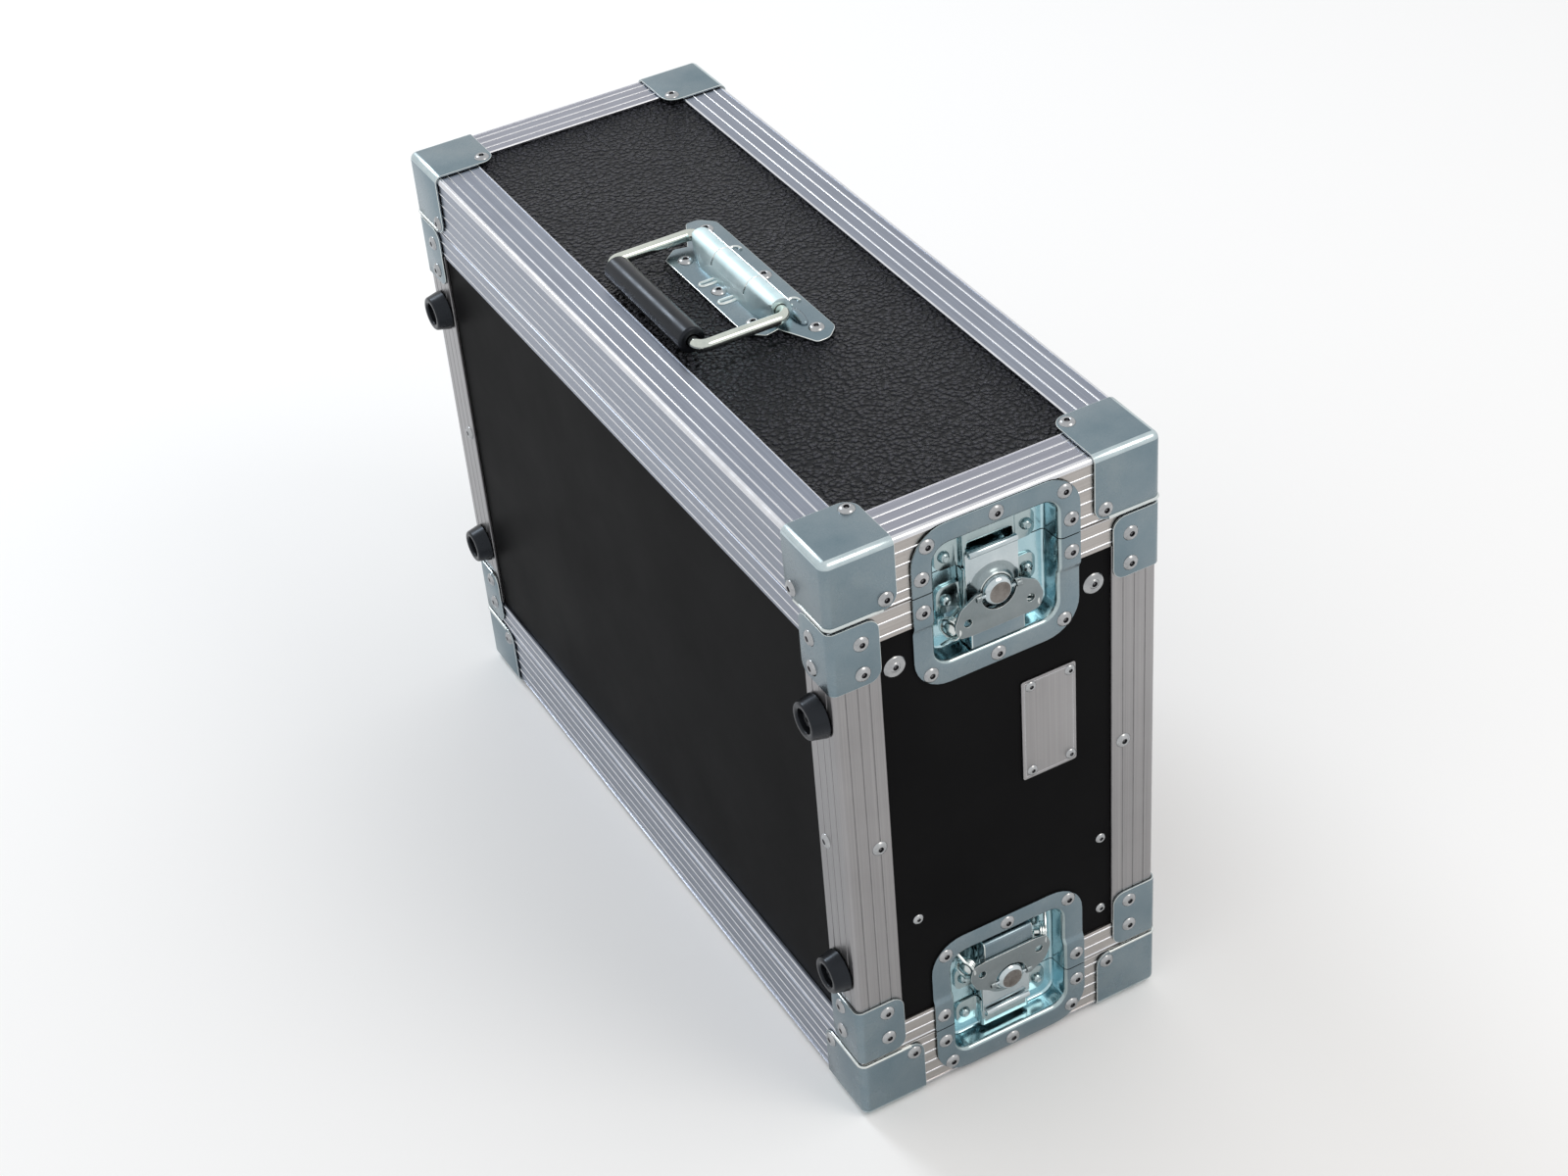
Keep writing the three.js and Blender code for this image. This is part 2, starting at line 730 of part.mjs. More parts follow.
function keeperDish() {
  const seamEdge = gap / 2;
  const slotHalf = latchWidth / 2 - keeperSlotMargin;
  const slotFrom = beadAboveSeam - keeperSlotBelowBead;
  const bridgeFrom = seamEdge + latchSheet;
  const bridge = channel(bridgeFrom, bridgeFrom + keeperHeight, seamEdge, seamEdge + earHeight);
  const slot = block(
    [housingTop - latchSheet - gap, -slotHalf, slotFrom],
    [housingTop + overrun, slotHalf, slotFrom + keeperSlotHeight],
  );
  return join(
    dishHalf(seamEdge, dishLidHeight, pocketTop),
    ...dishRivets(1, dishLidHeight),
    cut(bridge, slot),
  );
}

// The hook plate slides on the housing, drawn by the cam inside its window
function hookPlate() {
  const half = latchWidth / 2 - gap;
  const windowHalf = camRadius + camThrow + gap;
  const plate = block([hookBottom, -half, hookPlateEnd], [hookTop, half, beadAboveSeam]);
  const camWindow = block(
    [hookBottom - overrun, -windowHalf, camZ - camWindowHalf],
    [hookTop + overrun, windowHalf, camZ + camWindowHalf],
  );
  const beadLevel = hookBottom + beadRadius;
  const beadHalf = half - beadMargin;
  const bead = bar([beadLevel, -beadHalf, beadAboveSeam], [beadLevel, beadHalf, beadAboveSeam], beadRadius);
  return join(cut(plate, camWindow), bead);
}

// The hub: a turned shaft, swaged under the housing, with its cap, and the cam and the wing's pins on it
function latchHub() {
  const collarTop = housingTop - latchSheet - gap;
  const profile = [
    [0, collarTop - latchSheet],
    [collarRadius, collarTop - latchSheet],
    [collarRadius, collarTop],
    [shaftRadius, collarTop],
    [shaftRadius, capBottom],
    [hubRadius, capBottom],
    [hubRadius, capTop - hubChamfer],
    [hubRadius - hubChamfer, capTop],
    [0, capTop],
  ].map(([radius, level]) => new THREE.Vector2(radius, level));
  const turned = new THREE.LatheGeometry(profile, roundSides);
  turned.rotateZ(-Math.PI / 2);
  turned.translate(0, 0, hubZ);
  const pinEnd = wingClearRadius + knuckleWidth - gap;
  return join(
    toSolid(turned),
    bar([hookBottom, 0, camZ], [capBottom + gap, 0, camZ], camRadius),
    bar([wingLevel, -pinEnd, hubZ], [wingLevel, pinEnd, hubZ], wingPinRadius, wingPinRadius, rodSides),
  );
}

// The butterfly wing: a sheet with two lobes, and a knuckle on each pin
function latchWing() {
  const boreRadius = wingPinRadius + gap;
  const knuckleRadius = boreRadius + knuckleWall;
  const shoulder = wingClearRadius + knuckleWidth;
  const lobe = wingHoleHalf + wingLobeRadius;
  const rightHalf = [
    [0, -wingFootDrop],
    [wingFootHalf, -wingFootDrop, wingLobeRadius / 2],
    [lobe - wingLobeRadius / 3, -wingHoleDrop - wingLobeRadius, wingLobeRadius / 2],
    [lobe, -wingHoleDrop, wingLobeRadius],
    [wingNeckHalf, wingNeckHeight, wingLobeRadius],
    [shoulder, wingShoulderHeight],
  ];
  const leftHalf = rightHalf.slice(1).reverse().map(([y, z, radius]) => [-y, z, radius]);
  const corners = [...rightHalf, ...leftHalf].map(([y, z, radius]) => [y, hubZ + z, radius]);
  const half = latchSheet / 2;
  const sheet = prism(corners, 'x', wingLevel - half, wingLevel + half);
  const knuckles = signs.map((y) => bar(
    [wingLevel, y * wingClearRadius, hubZ],
    [wingLevel, y * shoulder, hubZ],
    knuckleRadius,
    knuckleRadius,
    rodSides,
  ));
  const acrossX = (y, z, radius, sides) => bar(
    [wingLevel - overrun, y, z],
    [wingLevel + overrun, y, z],
    radius,
    radius,
    sides,
  );
  const holes = signs.map((y) => acrossX(y * wingHoleHalf, hubZ - wingHoleDrop, wingHoleRadius, rodSides));
  const boreEnd = shoulder + overrun;
  const bore = bar([wingLevel, -boreEnd, hubZ], [wingLevel, boreEnd, hubZ], boreRadius, boreRadius, rodSides);
  const boreZone = block([wingLevel - knuckleRadius, -shoulder - gap, hubZ - knuckleRadius],
    [wingLevel + knuckleRadius, shoulder + gap, hubZ + knuckleRadius]);
  const hubClearance = acrossX(0, hubZ, wingClearRadius, roundSides);
  return cut(join(sheet, ...knuckles), hubClearance, bore.intersect(boreZone), ...holes);
}

function buildLatches() {
  const pieces = {
    dish: [bodyDish(), 'zincSheet'],
    keeper_dish: [keeperDish(), 'zincSheet'],
    hook: [hookPlate(), 'zincSheet'],
    hub: [latchHub(), 'zincSheet'],
    wing: [latchWing(), 'zincSheet'],
  };
  for (const x of signs) {
    for (const z of signs) {
      const latch = new THREE.Group();
      latch.position.set(x * halfLength, 0, z * seamZ);
      if (z < 0) latch.rotation[x > 0 ? 'x' : 'y'] = Math.PI;
      if (x < 0 && z > 0) latch.rotation.z = Math.PI;
      caseGroup.add(latch);
      for (const [name, [solid, finish]] of Object.entries(pieces)) {
        addPiece(`latch_${lidNames[z]}_${xNames[x]}_${name}`, solid, finish, latch);
      }
    }
  }
}

// The handle, built on the lid board: x along the case, z out of the board

const pivotZ = gap + gripRadius;

function handlePlate() {
  const earY = handleBarrelY + handleEarReach;
  const farY = handleBarrelY + handleFarReach;
  const rightHalf = [
    [handleNearHalf, handleBarrelY - handleNearReach, handleSmallRound],
    [handleFlankHalf, handleBarrelY - handleFlankReach, handleSmallRound],
    [handleWaistHalf, handleBarrelY - handleWaistReach],
    [handleEarHalf, earY, handleSmallRound],
    [handleEarHalf, (earY + farY) / 2, handleRound],
    [handleFarHalf, farY, handleSmallRound],
  ];
  const leftHalf = rightHalf.slice().reverse().map(([x, y, radius]) => [-x, y, radius]);
  const top = gap + handleSheet;
  const plate = prism([...rightHalf, ...leftHalf], 'z', gap, top);
  const barrelFoot = block(
    [-barrelHalf, handleBarrelY - barrelRadius, gap + handleSheet / 2],
    [barrelHalf, handleBarrelY + barrelRadius, pivotZ],
  );
  const onAxis = (x) => [x, handleBarrelY, pivotZ];
  const barrel = bar(onAxis(-barrelHalf), onAxis(barrelHalf), barrelRadius);
  const boreEnd = barrelHalf + overrun;
  const bore = bar(onAxis(-boreEnd), onAxis(boreEnd), bailRodRadius + gap);
  const rivets = [
    [0, -handleRivetNearReach],
    [0, handleRivetMiddleReach],
    ...signs.map((x) => [x * handleRivetNearX, -handleRivetNearReach]),
    ...signs.map((x) => [x * handleRivetFarX, handleRivetFarReach]),
  ].map(([x, reach]) => rivet([x, handleBarrelY + reach, top], 'z'));
  return join(cut(join(plate, barrelFoot, barrel), bore), ...rivets);
}

// The bail: one rod, turned in at both ends into the barrel
function handleBail() {
  const at = (x, reach) => new THREE.Vector3(x, handleBarrelY - reach, pivotZ);
  const path = new THREE.CurvePath();
  const stubX = bailHalf - bailBend - bailStub;
  const stations = [
    [at(-stubX, 0), at(bailBend - bailHalf, 0)],
    [at(-bailHalf, bailBend), at(-bailHalf, bailReach - bailBend)],
    [at(bailBend - bailHalf, bailReach), at(bailHalf - bailBend, bailReach)],
    [at(bailHalf, bailReach - bailBend), at(bailHalf, bailBend)],
    [at(bailHalf - bailBend, 0), at(stubX, 0)],
  ];
  const bends = [at(-bailHalf, 0), at(-bailHalf, bailReach), at(bailHalf, bailReach), at(bailHalf, 0)];
  stations.forEach(([start, end], i) => {
    path.add(new THREE.LineCurve3(start, end));
    if (i < bends.length) {
      path.add(new THREE.QuadraticBezierCurve3(end, bends[i], stations[i + 1][0]));
    }
  });
  const section = new THREE.Shape().absarc(0, 0, bailRodRadius, 0, 2 * Math.PI);
  return toSolid(new THREE.ExtrudeGeometry(section, {
    steps: bailSteps,
    extrudePath: path,
    curveSegments: rodSides / 2,
  }));
}

// The rubber sleeve on the bail's cross bar
function handleGrip() {
  const bore = bailRodRadius + gap;
  const profile = [
    [bore, -gripHalf],
    [gripRadius, -gripHalf],
    [gripRadius, gripHalf],
    [bore, gripHalf],
    [bore, -gripHalf],
  ].map(([radius, height]) => new THREE.Vector2(radius, height));
  const sleeve = new THREE.LatheGeometry(profile, roundSides);
  sleeve.rotateZ(Math.PI / 2);
  sleeve.translate(0, handleBarrelY - bailReach, pivotZ);
  return toSolid(sleeve);
}

function buildHandle() {
  const handle = new THREE.Group();
  handle.position.z = halfHeight - boardInset;
  caseGroup.add(handle);
  addPiece('handle_plate', handlePlate(), 'zincSheet', handle);
  addPiece('handle_bail', handleBail(), 'zincRod', handle);
  addPiece('handle_grip', handleGrip(), 'rubber', handle);
}

buildBoards();
buildEdgeAngles();
buildRims();
buildBraces();
buildLids();
buildLidCorners();
buildFeet();
buildRackRails();
buildNamePlate();
buildLatches();
buildHandle();

const model = new THREE.Group();
model.add(caseGroup);

export default model;
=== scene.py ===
"""An upright flight case with ribbed aluminium edging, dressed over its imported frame."""

import math

import bmesh
import bpy
from mathutils import Matrix, Vector


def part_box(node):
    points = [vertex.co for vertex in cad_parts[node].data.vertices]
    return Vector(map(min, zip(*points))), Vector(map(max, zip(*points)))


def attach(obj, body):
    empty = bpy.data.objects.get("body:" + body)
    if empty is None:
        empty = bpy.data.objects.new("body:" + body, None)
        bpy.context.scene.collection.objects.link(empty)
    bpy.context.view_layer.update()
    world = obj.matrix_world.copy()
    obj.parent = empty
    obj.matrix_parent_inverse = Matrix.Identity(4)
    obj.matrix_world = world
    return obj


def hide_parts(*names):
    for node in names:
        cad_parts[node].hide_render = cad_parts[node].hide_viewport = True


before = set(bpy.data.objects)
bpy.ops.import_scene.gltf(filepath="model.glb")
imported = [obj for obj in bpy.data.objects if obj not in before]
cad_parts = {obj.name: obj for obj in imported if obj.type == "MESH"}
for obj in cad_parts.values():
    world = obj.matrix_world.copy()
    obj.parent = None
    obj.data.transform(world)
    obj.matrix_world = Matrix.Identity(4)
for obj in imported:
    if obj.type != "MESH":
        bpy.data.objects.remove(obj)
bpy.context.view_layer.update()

MM = 0.001
MERGE = 0.001 * MM
OVERCUT = 1 * MM
OUT_OF_CASE = 10 * MM

# The case over its edging, read from the frame
lid_low, lid_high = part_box("front_lid_edging")
base_low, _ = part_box("rear_lid_edging")
CENTRE = (base_low + lid_high) / 2
HALF_LENGTH, HALF_WIDTH, HALF_HEIGHT = (lid_high - base_low) / 2
GAP = 0.3 * MM
SEAM = lid_low.z - CENTRE.z - GAP / 2

# Camera, solved from the case's corners in the photograph
PHOTO_WIDTH = 1600
FOCAL_PIXELS = 2822.25
SENSOR_WIDTH = 36
VIEW_AZIMUTH = math.radians(63.95)
VIEW_ELEVATION = math.radians(37.63)
VIEW_ROLL = math.radians(-5.25)
VIEW_DISTANCE = 1761.33 * MM
VIEW_RIGHT = -5.56 * MM
VIEW_DOWN = -18.73 * MM

# Edging
EDGE_ROUND = 3 * MM
EDGE_LIP = EDGE_ROUND / 3
EDGE_CHAMFER = EDGE_ROUND / 6
EDGING_WIDTH = 30 * MM
EDGING_WALL = 1.7 * MM
LID_WALL = 2 * MM
LID_GROOVE = 8 * MM
LID_LEDGE = 10 * MM
LEDGE_THICKNESS = 2 * MM
BOARD_INSET = EDGING_WALL + GAP
BOARD = 7 * MM
BOARD_INNER = BOARD_INSET + BOARD
RIM_WIDTH = 20 * MM
RIM_WEB = 2 * MM
RIM_INNER_WIDTH = 10 * MM
RIM_INNER_WALL = 1.7 * MM
TONGUE_WIDTH = 4 * MM
TONGUE_HEIGHT = 4 * MM
RIM_LIP_WIDTH = 3.5 * MM
RIM_LIP_HEIGHT = 8 * MM
RIM_LIP_LAP = 8 * MM
RIB_HALF = 0.55 * MM
RIB_HEIGHT = 0.4 * MM
RIB_SHARES = [(-1, 0), (-0.6, 0.72), (0, 1), (0.6, 0.72), (1, 0)]
RAISED_SHARE = 0.9
FLAT_RIBS = 3
SIDE_RIBS = 4
FLAT_RIB_PITCH = 7.5 * MM
SIDE_RIB_PITCH = 8.6 * MM
SIDE_RIB_START = 5.4 * MM
GROOVE_HALF = 0.4 * MM
GROOVE_DEPTH = 0.25 * MM
GROOVE_SHARES = [(-1, 0), (-0.5, 1), (0.5, 1), (1, 0)]
GROOVE_FACE_SHARES = 0.25, 1.1

# Pressed plates and rivets
PLATE = 1.2 * MM
PLATE_OUT = GAP + PLATE
PLATE_EDGE = 0.35 * MM
CORNER_LEG = 42 * MM
CORNER_ROUND = 9 * MM
CORNER_RIVET = 35 * MM
BRACE_WIDTH = 30 * MM
BRACE_HEIGHT = 42 * MM
BRACE_INSET = 1.5 * MM
BRACE_ROUND = 8 * MM
LIP_RADIUS = 1.1 * MM
CAP_ROUND = EDGE_ROUND + PLATE_OUT + 0.45 * MM
UPPER_BEND_SLOPES = 0.2, 0.97
BRACE_RIVET_EDGE = 18.5 * MM
BRACE_RIVETS = [14.7 * MM, 35.1 * MM]
RIVET_RADIUS = 4.9 * MM
RIVET_HEIGHT = 1.8 * MM
EDGE_RIVET = 22 * MM
RIVET_HOLE = 1.6 * MM
FLANGED_RIVET_RADIUS = 6.8 * MM
FLANGE_TOP = 0.4 * RIVET_HEIGHT
FLANGE_FOOT = 0.1 * RIVET_HEIGHT
NAME_RIVET_SHIFT = 1.2 * MM
SMALL_RIVET_SCALE = 0.72
RIVET_SHARES = [
    (0, 0.55), (0.13, 0.5), (0.17, 0.1), (0.29, 0.05), (0.35, 0.88), (0.42, 1), (0.54, 0.97),
    (0.7, 0.82), (0.85, 0.55), (0.96, 0.2), (1, 0.04), (1, -0.5), (0, -0.5),
]
FLANGED_SHARES = [*RIVET_SHARES[:6], (0.55, 0.86), (0.64, 0.55)]

# Rivets on each end board: flanged ones of the rack rails, and small ones
FLANGED_PLACES_MM = [(-64.4, 122), (63.2, 122)]
SMALL_PLACES_MM = [(-59.2, -69.3), (67.3, -71.1), (67.1, -128.4)]

# Rubber feet and name plate
FOOT_FILLET = 1.6 * MM
FOOT_TAPER = 1.9 * MM
FOOT_ARC = 10, 90
FOOT_RECESS = 7.3 * MM
FOOT_DEPTH = 4.5 * MM
SCREW_RADIUS = 5.2 * MM
SCREW_SHARES = 1, 0.8, 0.3, 0.24
NAME_SHEET = 1 * MM
NAME_BORDER = 1.6 * MM
NAME_LINE = 0.45 * MM
ENGRAVING = 0.15 * MM
NAME_ROUND = 1.5 * MM
NAME_RIVET = 5 * MM

# Latch dishes, in the latch's own directions: x out of the case, y along the seam, z to the lid
DISH_HALF = 53 * MM
DISH_BODY = 67 * MM
DISH_LID = 41 * MM
DISH_FLANGE = 14 * MM
DISH_ROUND = 22 * MM
DISH_DEPTH = 13 * MM
POCKET_HALF = DISH_HALF - DISH_FLANGE
POCKET_ROUND = 10 * MM
FLANGE_BEND = 3.4 * MM
FLOOR_BEND = 2.2 * MM
WALL_DRAFT = 0.5 * MM
DISH_EDGE = [(0, 0.7 * PLATE), (0, PLATE_EDGE), (0.3 * PLATE_EDGE, 0.3 * PLATE_EDGE), (PLATE_EDGE, 0)]
SHOULDER_SHARES = 0.12, 0.8
DISH_SEAM = 0.35 * MM
STEP_TOP = -19.6 * MM
STEP_END = -25.8 * MM
CUT_MARGIN = PLATE + GAP
CUT_HALF = POCKET_HALF + CUT_MARGIN
CUT_TOP = DISH_LID - DISH_FLANGE + CUT_MARGIN
TRAY_BACK = DISH_DEPTH + PLATE
DISH_RIVET_ROW = 11 * MM
DISH_RIVET_INSET = 6 * MM
DISH_CORNER_RIVET = 10 * MM

# Latch mechanism
SHEET = 1.5 * MM
CHANNEL_BEND = 1.4 * SHEET
LATCH_HALF = 17 * MM
HOUSING_TOP = -6.3 * MM
EAR_HALF = 31.5 * MM
EAR_HEIGHT = 18 * MM
EAR_ROUND = 5 * MM
EAR_RIVET = 26 * MM
HUB_Z = -17.1 * MM
HUB_RADIUS = 9 * MM
HUB_CHAMFER = 2 * MM
CAP_BOTTOM = -4.2 * MM
CAP_TOP = 3.2 * MM
WING_LEVEL = 1.2 * MM
HOOK_BOTTOM = HOUSING_TOP + GAP
HOOK_TOP = HOOK_BOTTOM + SHEET
HOOK_HALF = LATCH_HALF - GAP
HOOK_END = -31.6 * MM
HOOK_ROUND = 2 * MM
BEAD_Z = 9.6 * MM
BEAD_RADIUS = 2.2 * MM
BEAD_HOLE_SHARE = 0.45
BEAD_ARC = -90, 215
CAM_THROW = 4 * MM
CAM_RADIUS = 7 * MM
SPRING_Z = -34.6 * MM
SPRING_X = -5.6 * MM
SPRING_RADIUS = 6.3 * MM
SPRING_WIRE = 1 * MM
SPRING_TURNS = 2
SPRING_START = 25.5 * MM
SPRING_PITCH = 1.7 * MM
SPRING_TILT = math.radians(30)
SPRING_PIN = 3.9 * MM
SPRING_LEG_SHARE = 1.9
SPRING_PIN_SHARES = 1, 0.9, 0.5, 0
EAR_HEAD = 3.6 * MM
EAR_HEAD_ARC = 90, 30
DOME_INNER = 9.3 * MM
DOME_OUTER = 15.6 * MM
DOME_HEIGHT = 3.6 * MM
DOME_OPENING = 1.5 * MM
DOME_SHARES = [
    (0, 0.85), (0.05, 0.96), (0.1, 1), (0.17, 0.94), (0.25, 0.7),
    (0.34, 0.48), (0.46, 0.29), (0.62, 0.13), (0.82, 0.03),
]
DOME_RIM_SHARE = 0.9
SHAFT_RADIUS = 4 * MM
COLLAR_RADIUS = 6 * MM
BEAD_MARGIN = 1.5 * MM
KEEPER_HEIGHT = 21 * MM
SLOT_MARGIN = 2.5 * MM
SLOT_HEIGHT = 10 * MM
SLOT_BELOW_BEAD = 3.6 * MM
SLOT_ROUND = 1.5 * MM
LOWER_PLATE_END = -34.1 * MM
LOWER_PLATE_LEVEL = 0.15 * MM
LOWER_PLATE_ROUND = 2.4 * MM

# Butterfly wing
PIN_RADIUS = 1 * MM
KNUCKLE_WALL = 0.7 * MM
KNUCKLE_WIDTH = 3 * MM
WING_CLEAR = 2.2 * MM
WING_SHOULDER = 3.1 * MM
WING_NECK = -2.8 * MM
WING_NECK_HALF = 24.5 * MM
WING_HOLE_HALF = 20 * MM
WING_HOLE_DROP = 13.1 * MM
WING_HOLE = 2.6 * MM
WING_LOBE = 8.6 * MM
WING_FOOT_HALF = 17.7 * MM
WING_FOOT_DROP = 22.7 * MM

# Handle, measured from its barrel
HANDLE_NEAR = 24.2 * MM
HANDLE_FLANK = 14.5 * MM
HANDLE_WAIST = 6 * MM
HANDLE_EAR = 6 * MM
HANDLE_FAR = 23 * MM
HANDLE_NEAR_HALF = 50 * MM
HANDLE_FLANK_HALF = 58.5 * MM
HANDLE_WAIST_HALF = 56.5 * MM
HANDLE_EAR_HALF = 81.5 * MM
HANDLE_FAR_HALF = 73 * MM
HANDLE_ROUND = 8 * MM
HANDLE_SMALL_ROUND = 3 * MM
HANDLE_SHEET = 1.5 * MM
HANDLE_RIVETS_MM = [(-42.5, -14.4), (0, -14.4), (42.5, -14.4), (-68, 13), (0, 16), (68, 13)]
BARREL_RADIUS = 7.5 * MM
BARREL_HALF = 49.5 * MM
BARREL_FILLET = 2.5 * MM
BARREL_GROOVE = 20 * MM
BARREL_GROOVE_DEPTH = 0.35 * MM
BARREL_GROOVE_FLOOR = 0.25 * MM
BARREL_GROOVE_MOUTH = 0.8 * MM
BARREL_LINE = math.radians(28)
LINE_RADIUS = 0.4 * MM
SLOPE_REACH = 11 * MM
SLOPE_HALF = 30 * MM
BAIL_RADIUS = 3.75 * MM
BAIL_HALF = 57.5 * MM
BAIL_BEND = 6 * MM
BAIL_STUB = 8 * MM
GRIP_RADIUS = 8.5 * MM
GRIP_SHOULDER = 2.5 * MM
GRIP_ROUND = 2 * MM
GRIP_CHAMFER = 0.4 * MM
LOOP_X = 12 * MM
LOOP_HALF = 2.1 * MM
LOOP_NEAR = 20.8 * MM
RING_X = 36 * MM
RING_RADIUS = 3.9 * MM
RING_INSET = 7.5 * MM
RING_ARC = 60, 330
EMBOSS_RADIUS = 1.05 * MM
HUMP_REACH = 9.5 * MM
HUMP_START = 3 * MM
HUMP_POINTS_MM = [(0, 0), (3.4, 0), (3.9, 4), (3.6, 9), (2.4, 14), (0, 17)]

# Studio: each lamp's direction from the case, its distance, diameter, power and colour
FLOOR_SIZE = 12
LAMPS = {
    "key_lamp": ((-0.71, -0.18, 0.66), 2.6, 0.7, 18, (0.86, 0.93, 1)),
    "warm_lamp": ((0.61, 0.35, 0.71), 2.6, 1.2, 12, (1, 0.93, 0.85)),
}
SKY_LIGHT = 0.85

# Rounded edges
NAME_EDGE = 0.12 * MM
KNUCKLE_EDGE = 0.15 * MM
PIN_EDGE = 0.2 * MM
CHANNEL_EDGE = 0.25 * MM
HOOK_EDGE = 0.3 * MM
SHEET_EDGE = 0.4 * MM
ROD_EDGE = 0.5 * MM
DRAWN_EDGE = 0.6 * MM

# Facets
ARC_STEPS = 8
BEND_STEPS = 6
LOOP_STEPS = 10
BAIL_STEPS = 12
COIL_STEPS = 20
BEAD_STEPS = 24
WIRE_SIDES = 8
LIP_SIDES = 10
PIN_SIDES = 16
KNUCKLE_SIDES = 20
RIVET_SIDES = 24
BORE_SIDES = 28
FLANGED_SIDES = 32
CAM_SIDES = 36
GRIP_SIDES = 40
HUB_SIDES = 48
DOME_SIDES = 64
EDGE_SEGMENTS = 2
FINE_SEGMENTS = 3
FLAT_ANGLE = math.radians(0.5)
EDGE_ANGLE = math.radians(40)
SMOOTH_ANGLE = math.radians(35)

# Looks: the places of a piece's materials, and the range of a noise that shows. The second place holds
# painted light: on most pieces a painted highlight on bevels, ridges and crests, on the edging angles
# painted shade in the grooves, on rivets the dark mandrel with painted shade in its hole. The third and
# fourth hold the painted reflection, highlight and shade of latches, bends and the handle's barrel, and
# the darker steel of the hub's face. The edging rings use these places for their own run looks.
LOOKS = 4
SHEET_LOOK = 0
PAINTED_LIGHT_LOOK = 1
INNER_LOOK = 2
MID_HIGHLIGHT_LOOK = 3
NOISE_RANGE = 0.3, 0.7
TONE_RANGE = 0.32, 0.68

X, Y, Z = Vector((1, 0, 0)), Vector((0, 1, 0)), Vector((0, 0, 1))
SIGNS = (1, -1)
X_NAMES = {1: "right", -1: "left"}
Y_NAMES = {1: "back", -1: "feet_side"}
LID_NAMES = {1: "front", -1: "rear"}


def placed(name, data):
    """A new object in the scene."""
    thing = bpy.data.objects.new(name, data)
    bpy.context.scene.collection.objects.link(thing)
    return thing


def each_corner():
    """The signs of each corner of the case, and its name."""
    for z, lid in LID_NAMES.items():
        for x, end in X_NAMES.items():
            for y, side in Y_NAMES.items():
                yield x, y, z, f"{lid}_{end}_{side}"


def place_camera():
    """The camera at the photograph's viewing angle."""
    azimuth, elevation = VIEW_AZIMUTH, VIEW_ELEVATION
    level = math.cos(elevation)
    forward = Vector((-math.sin(azimuth) * level, math.cos(azimuth) * level, -math.sin(elevation)))
    level_right = Vector((math.cos(azimuth), math.sin(azimuth), 0))
    level_down = forward.cross(level_right)
    right = math.cos(VIEW_ROLL) * level_right - math.sin(VIEW_ROLL) * level_down
    down = math.sin(VIEW_ROLL) * level_right + math.cos(VIEW_ROLL) * level_down
    data = bpy.data.cameras.new("camera")
    data.sensor_width = SENSOR_WIDTH
    data.lens = FOCAL_PIXELS / PHOTO_WIDTH * SENSOR_WIDTH
    camera = placed("camera", data)
    turn = Matrix((right, -down, -forward)).transposed().to_4x4()
    offset = VIEW_RIGHT * right + VIEW_DOWN * down + VIEW_DISTANCE * forward
    camera.matrix_world = Matrix.Translation(CENTRE - offset) @ turn
    bpy.context.scene.camera = camera


# Forms: closed meshes in the case's own directions, with the case's middle as their origin

def form_of(vertices, faces):
    """A form from its points and the faces between them."""
    form = bmesh.new()
    points = [form.verts.new(vertex) for vertex in vertices]
    for face in faces:
        form.faces.new([points[index] for index in face])
    bmesh.ops.recalc_face_normals(form, faces=form.faces)
    return form


def mesh_of(name, form):
    mesh = bpy.data.meshes.new(name)
    form.to_mesh(mesh)
    return mesh


def holder_of(form):
    """A short-lived object that carries a form."""
    mesh = mesh_of("holder", form)
    for _ in range(LOOKS):
        mesh.materials.append(None)
    return placed("holder", mesh)


def discard(holder):
    mesh = holder.data
    bpy.data.objects.remove(holder)
    bpy.data.meshes.remove(mesh)


def modified(form, kind, **settings):
    """The form that one modifier makes of another form."""
    holder = holder_of(form)
    modifier = holder.modifiers.new("change", kind)
    for setting, value in settings.items():
        setattr(modifier, setting, value)
    result = bmesh.new()
    depsgraph = bpy.context.evaluated_depsgraph_get()
    mesh = bpy.data.meshes.new_from_object(holder.evaluated_get(depsgraph))
    result.from_mesh(mesh)
    bpy.data.meshes.remove(mesh)
    discard(holder)
    return result


def combined(form, operation, others):
    """A form cut by, joined to or kept inside others, one after another."""
    for other in others:
        holder = holder_of(other)
        form = modified(form, "BOOLEAN", object=holder, operation=operation, solver="EXACT")
        discard(holder)
        bmesh.ops.remove_doubles(form, verts=form.verts, dist=MERGE)
    return form


def cut(form, *others):
    return combined(form, "DIFFERENCE", others)


def joined(form, *others):
    return combined(form, "UNION", others)


def within(form, other):
    return combined(form, "INTERSECT", [other])


def softened(form, width=PLATE_EDGE, segments=EDGE_SEGMENTS):
    """A form with its sharp edges rounded, the rounded bevels painted light as a highlight."""
    bmesh.ops.dissolve_limit(form, angle_limit=FLAT_ANGLE, verts=form.verts, edges=form.edges)
    return modified(
        form, "BEVEL", width=width, segments=segments, material=PAINTED_LIGHT_LOOK,
        limit_method="ANGLE", angle_limit=EDGE_ANGLE,
    )


def gathered(*forms):
    """Several forms as one, each still closed by itself."""
    result = bmesh.new()
    for form in forms:
        mesh = mesh_of("part", form)
        result.from_mesh(mesh)
        bpy.data.meshes.remove(mesh)
    return result


def painted(form, look):
    """A form with every face in one look."""
    return painted_by(form, lambda middle: look)


def painted_by(form, look_at):
    """A form with each face in the look that its middle asks for."""
    for face in form.faces:
        face.material_index = look_at(face.calc_center_median())
    return form


def moved(form, matrix):
    """A copy of a form, moved or mirrored."""
    result = form.copy()
    bmesh.ops.transform(result, matrix=matrix, verts=result.verts)
    if matrix.determinant() < 0:
        bmesh.ops.reverse_faces(result, faces=result.faces)
    return result


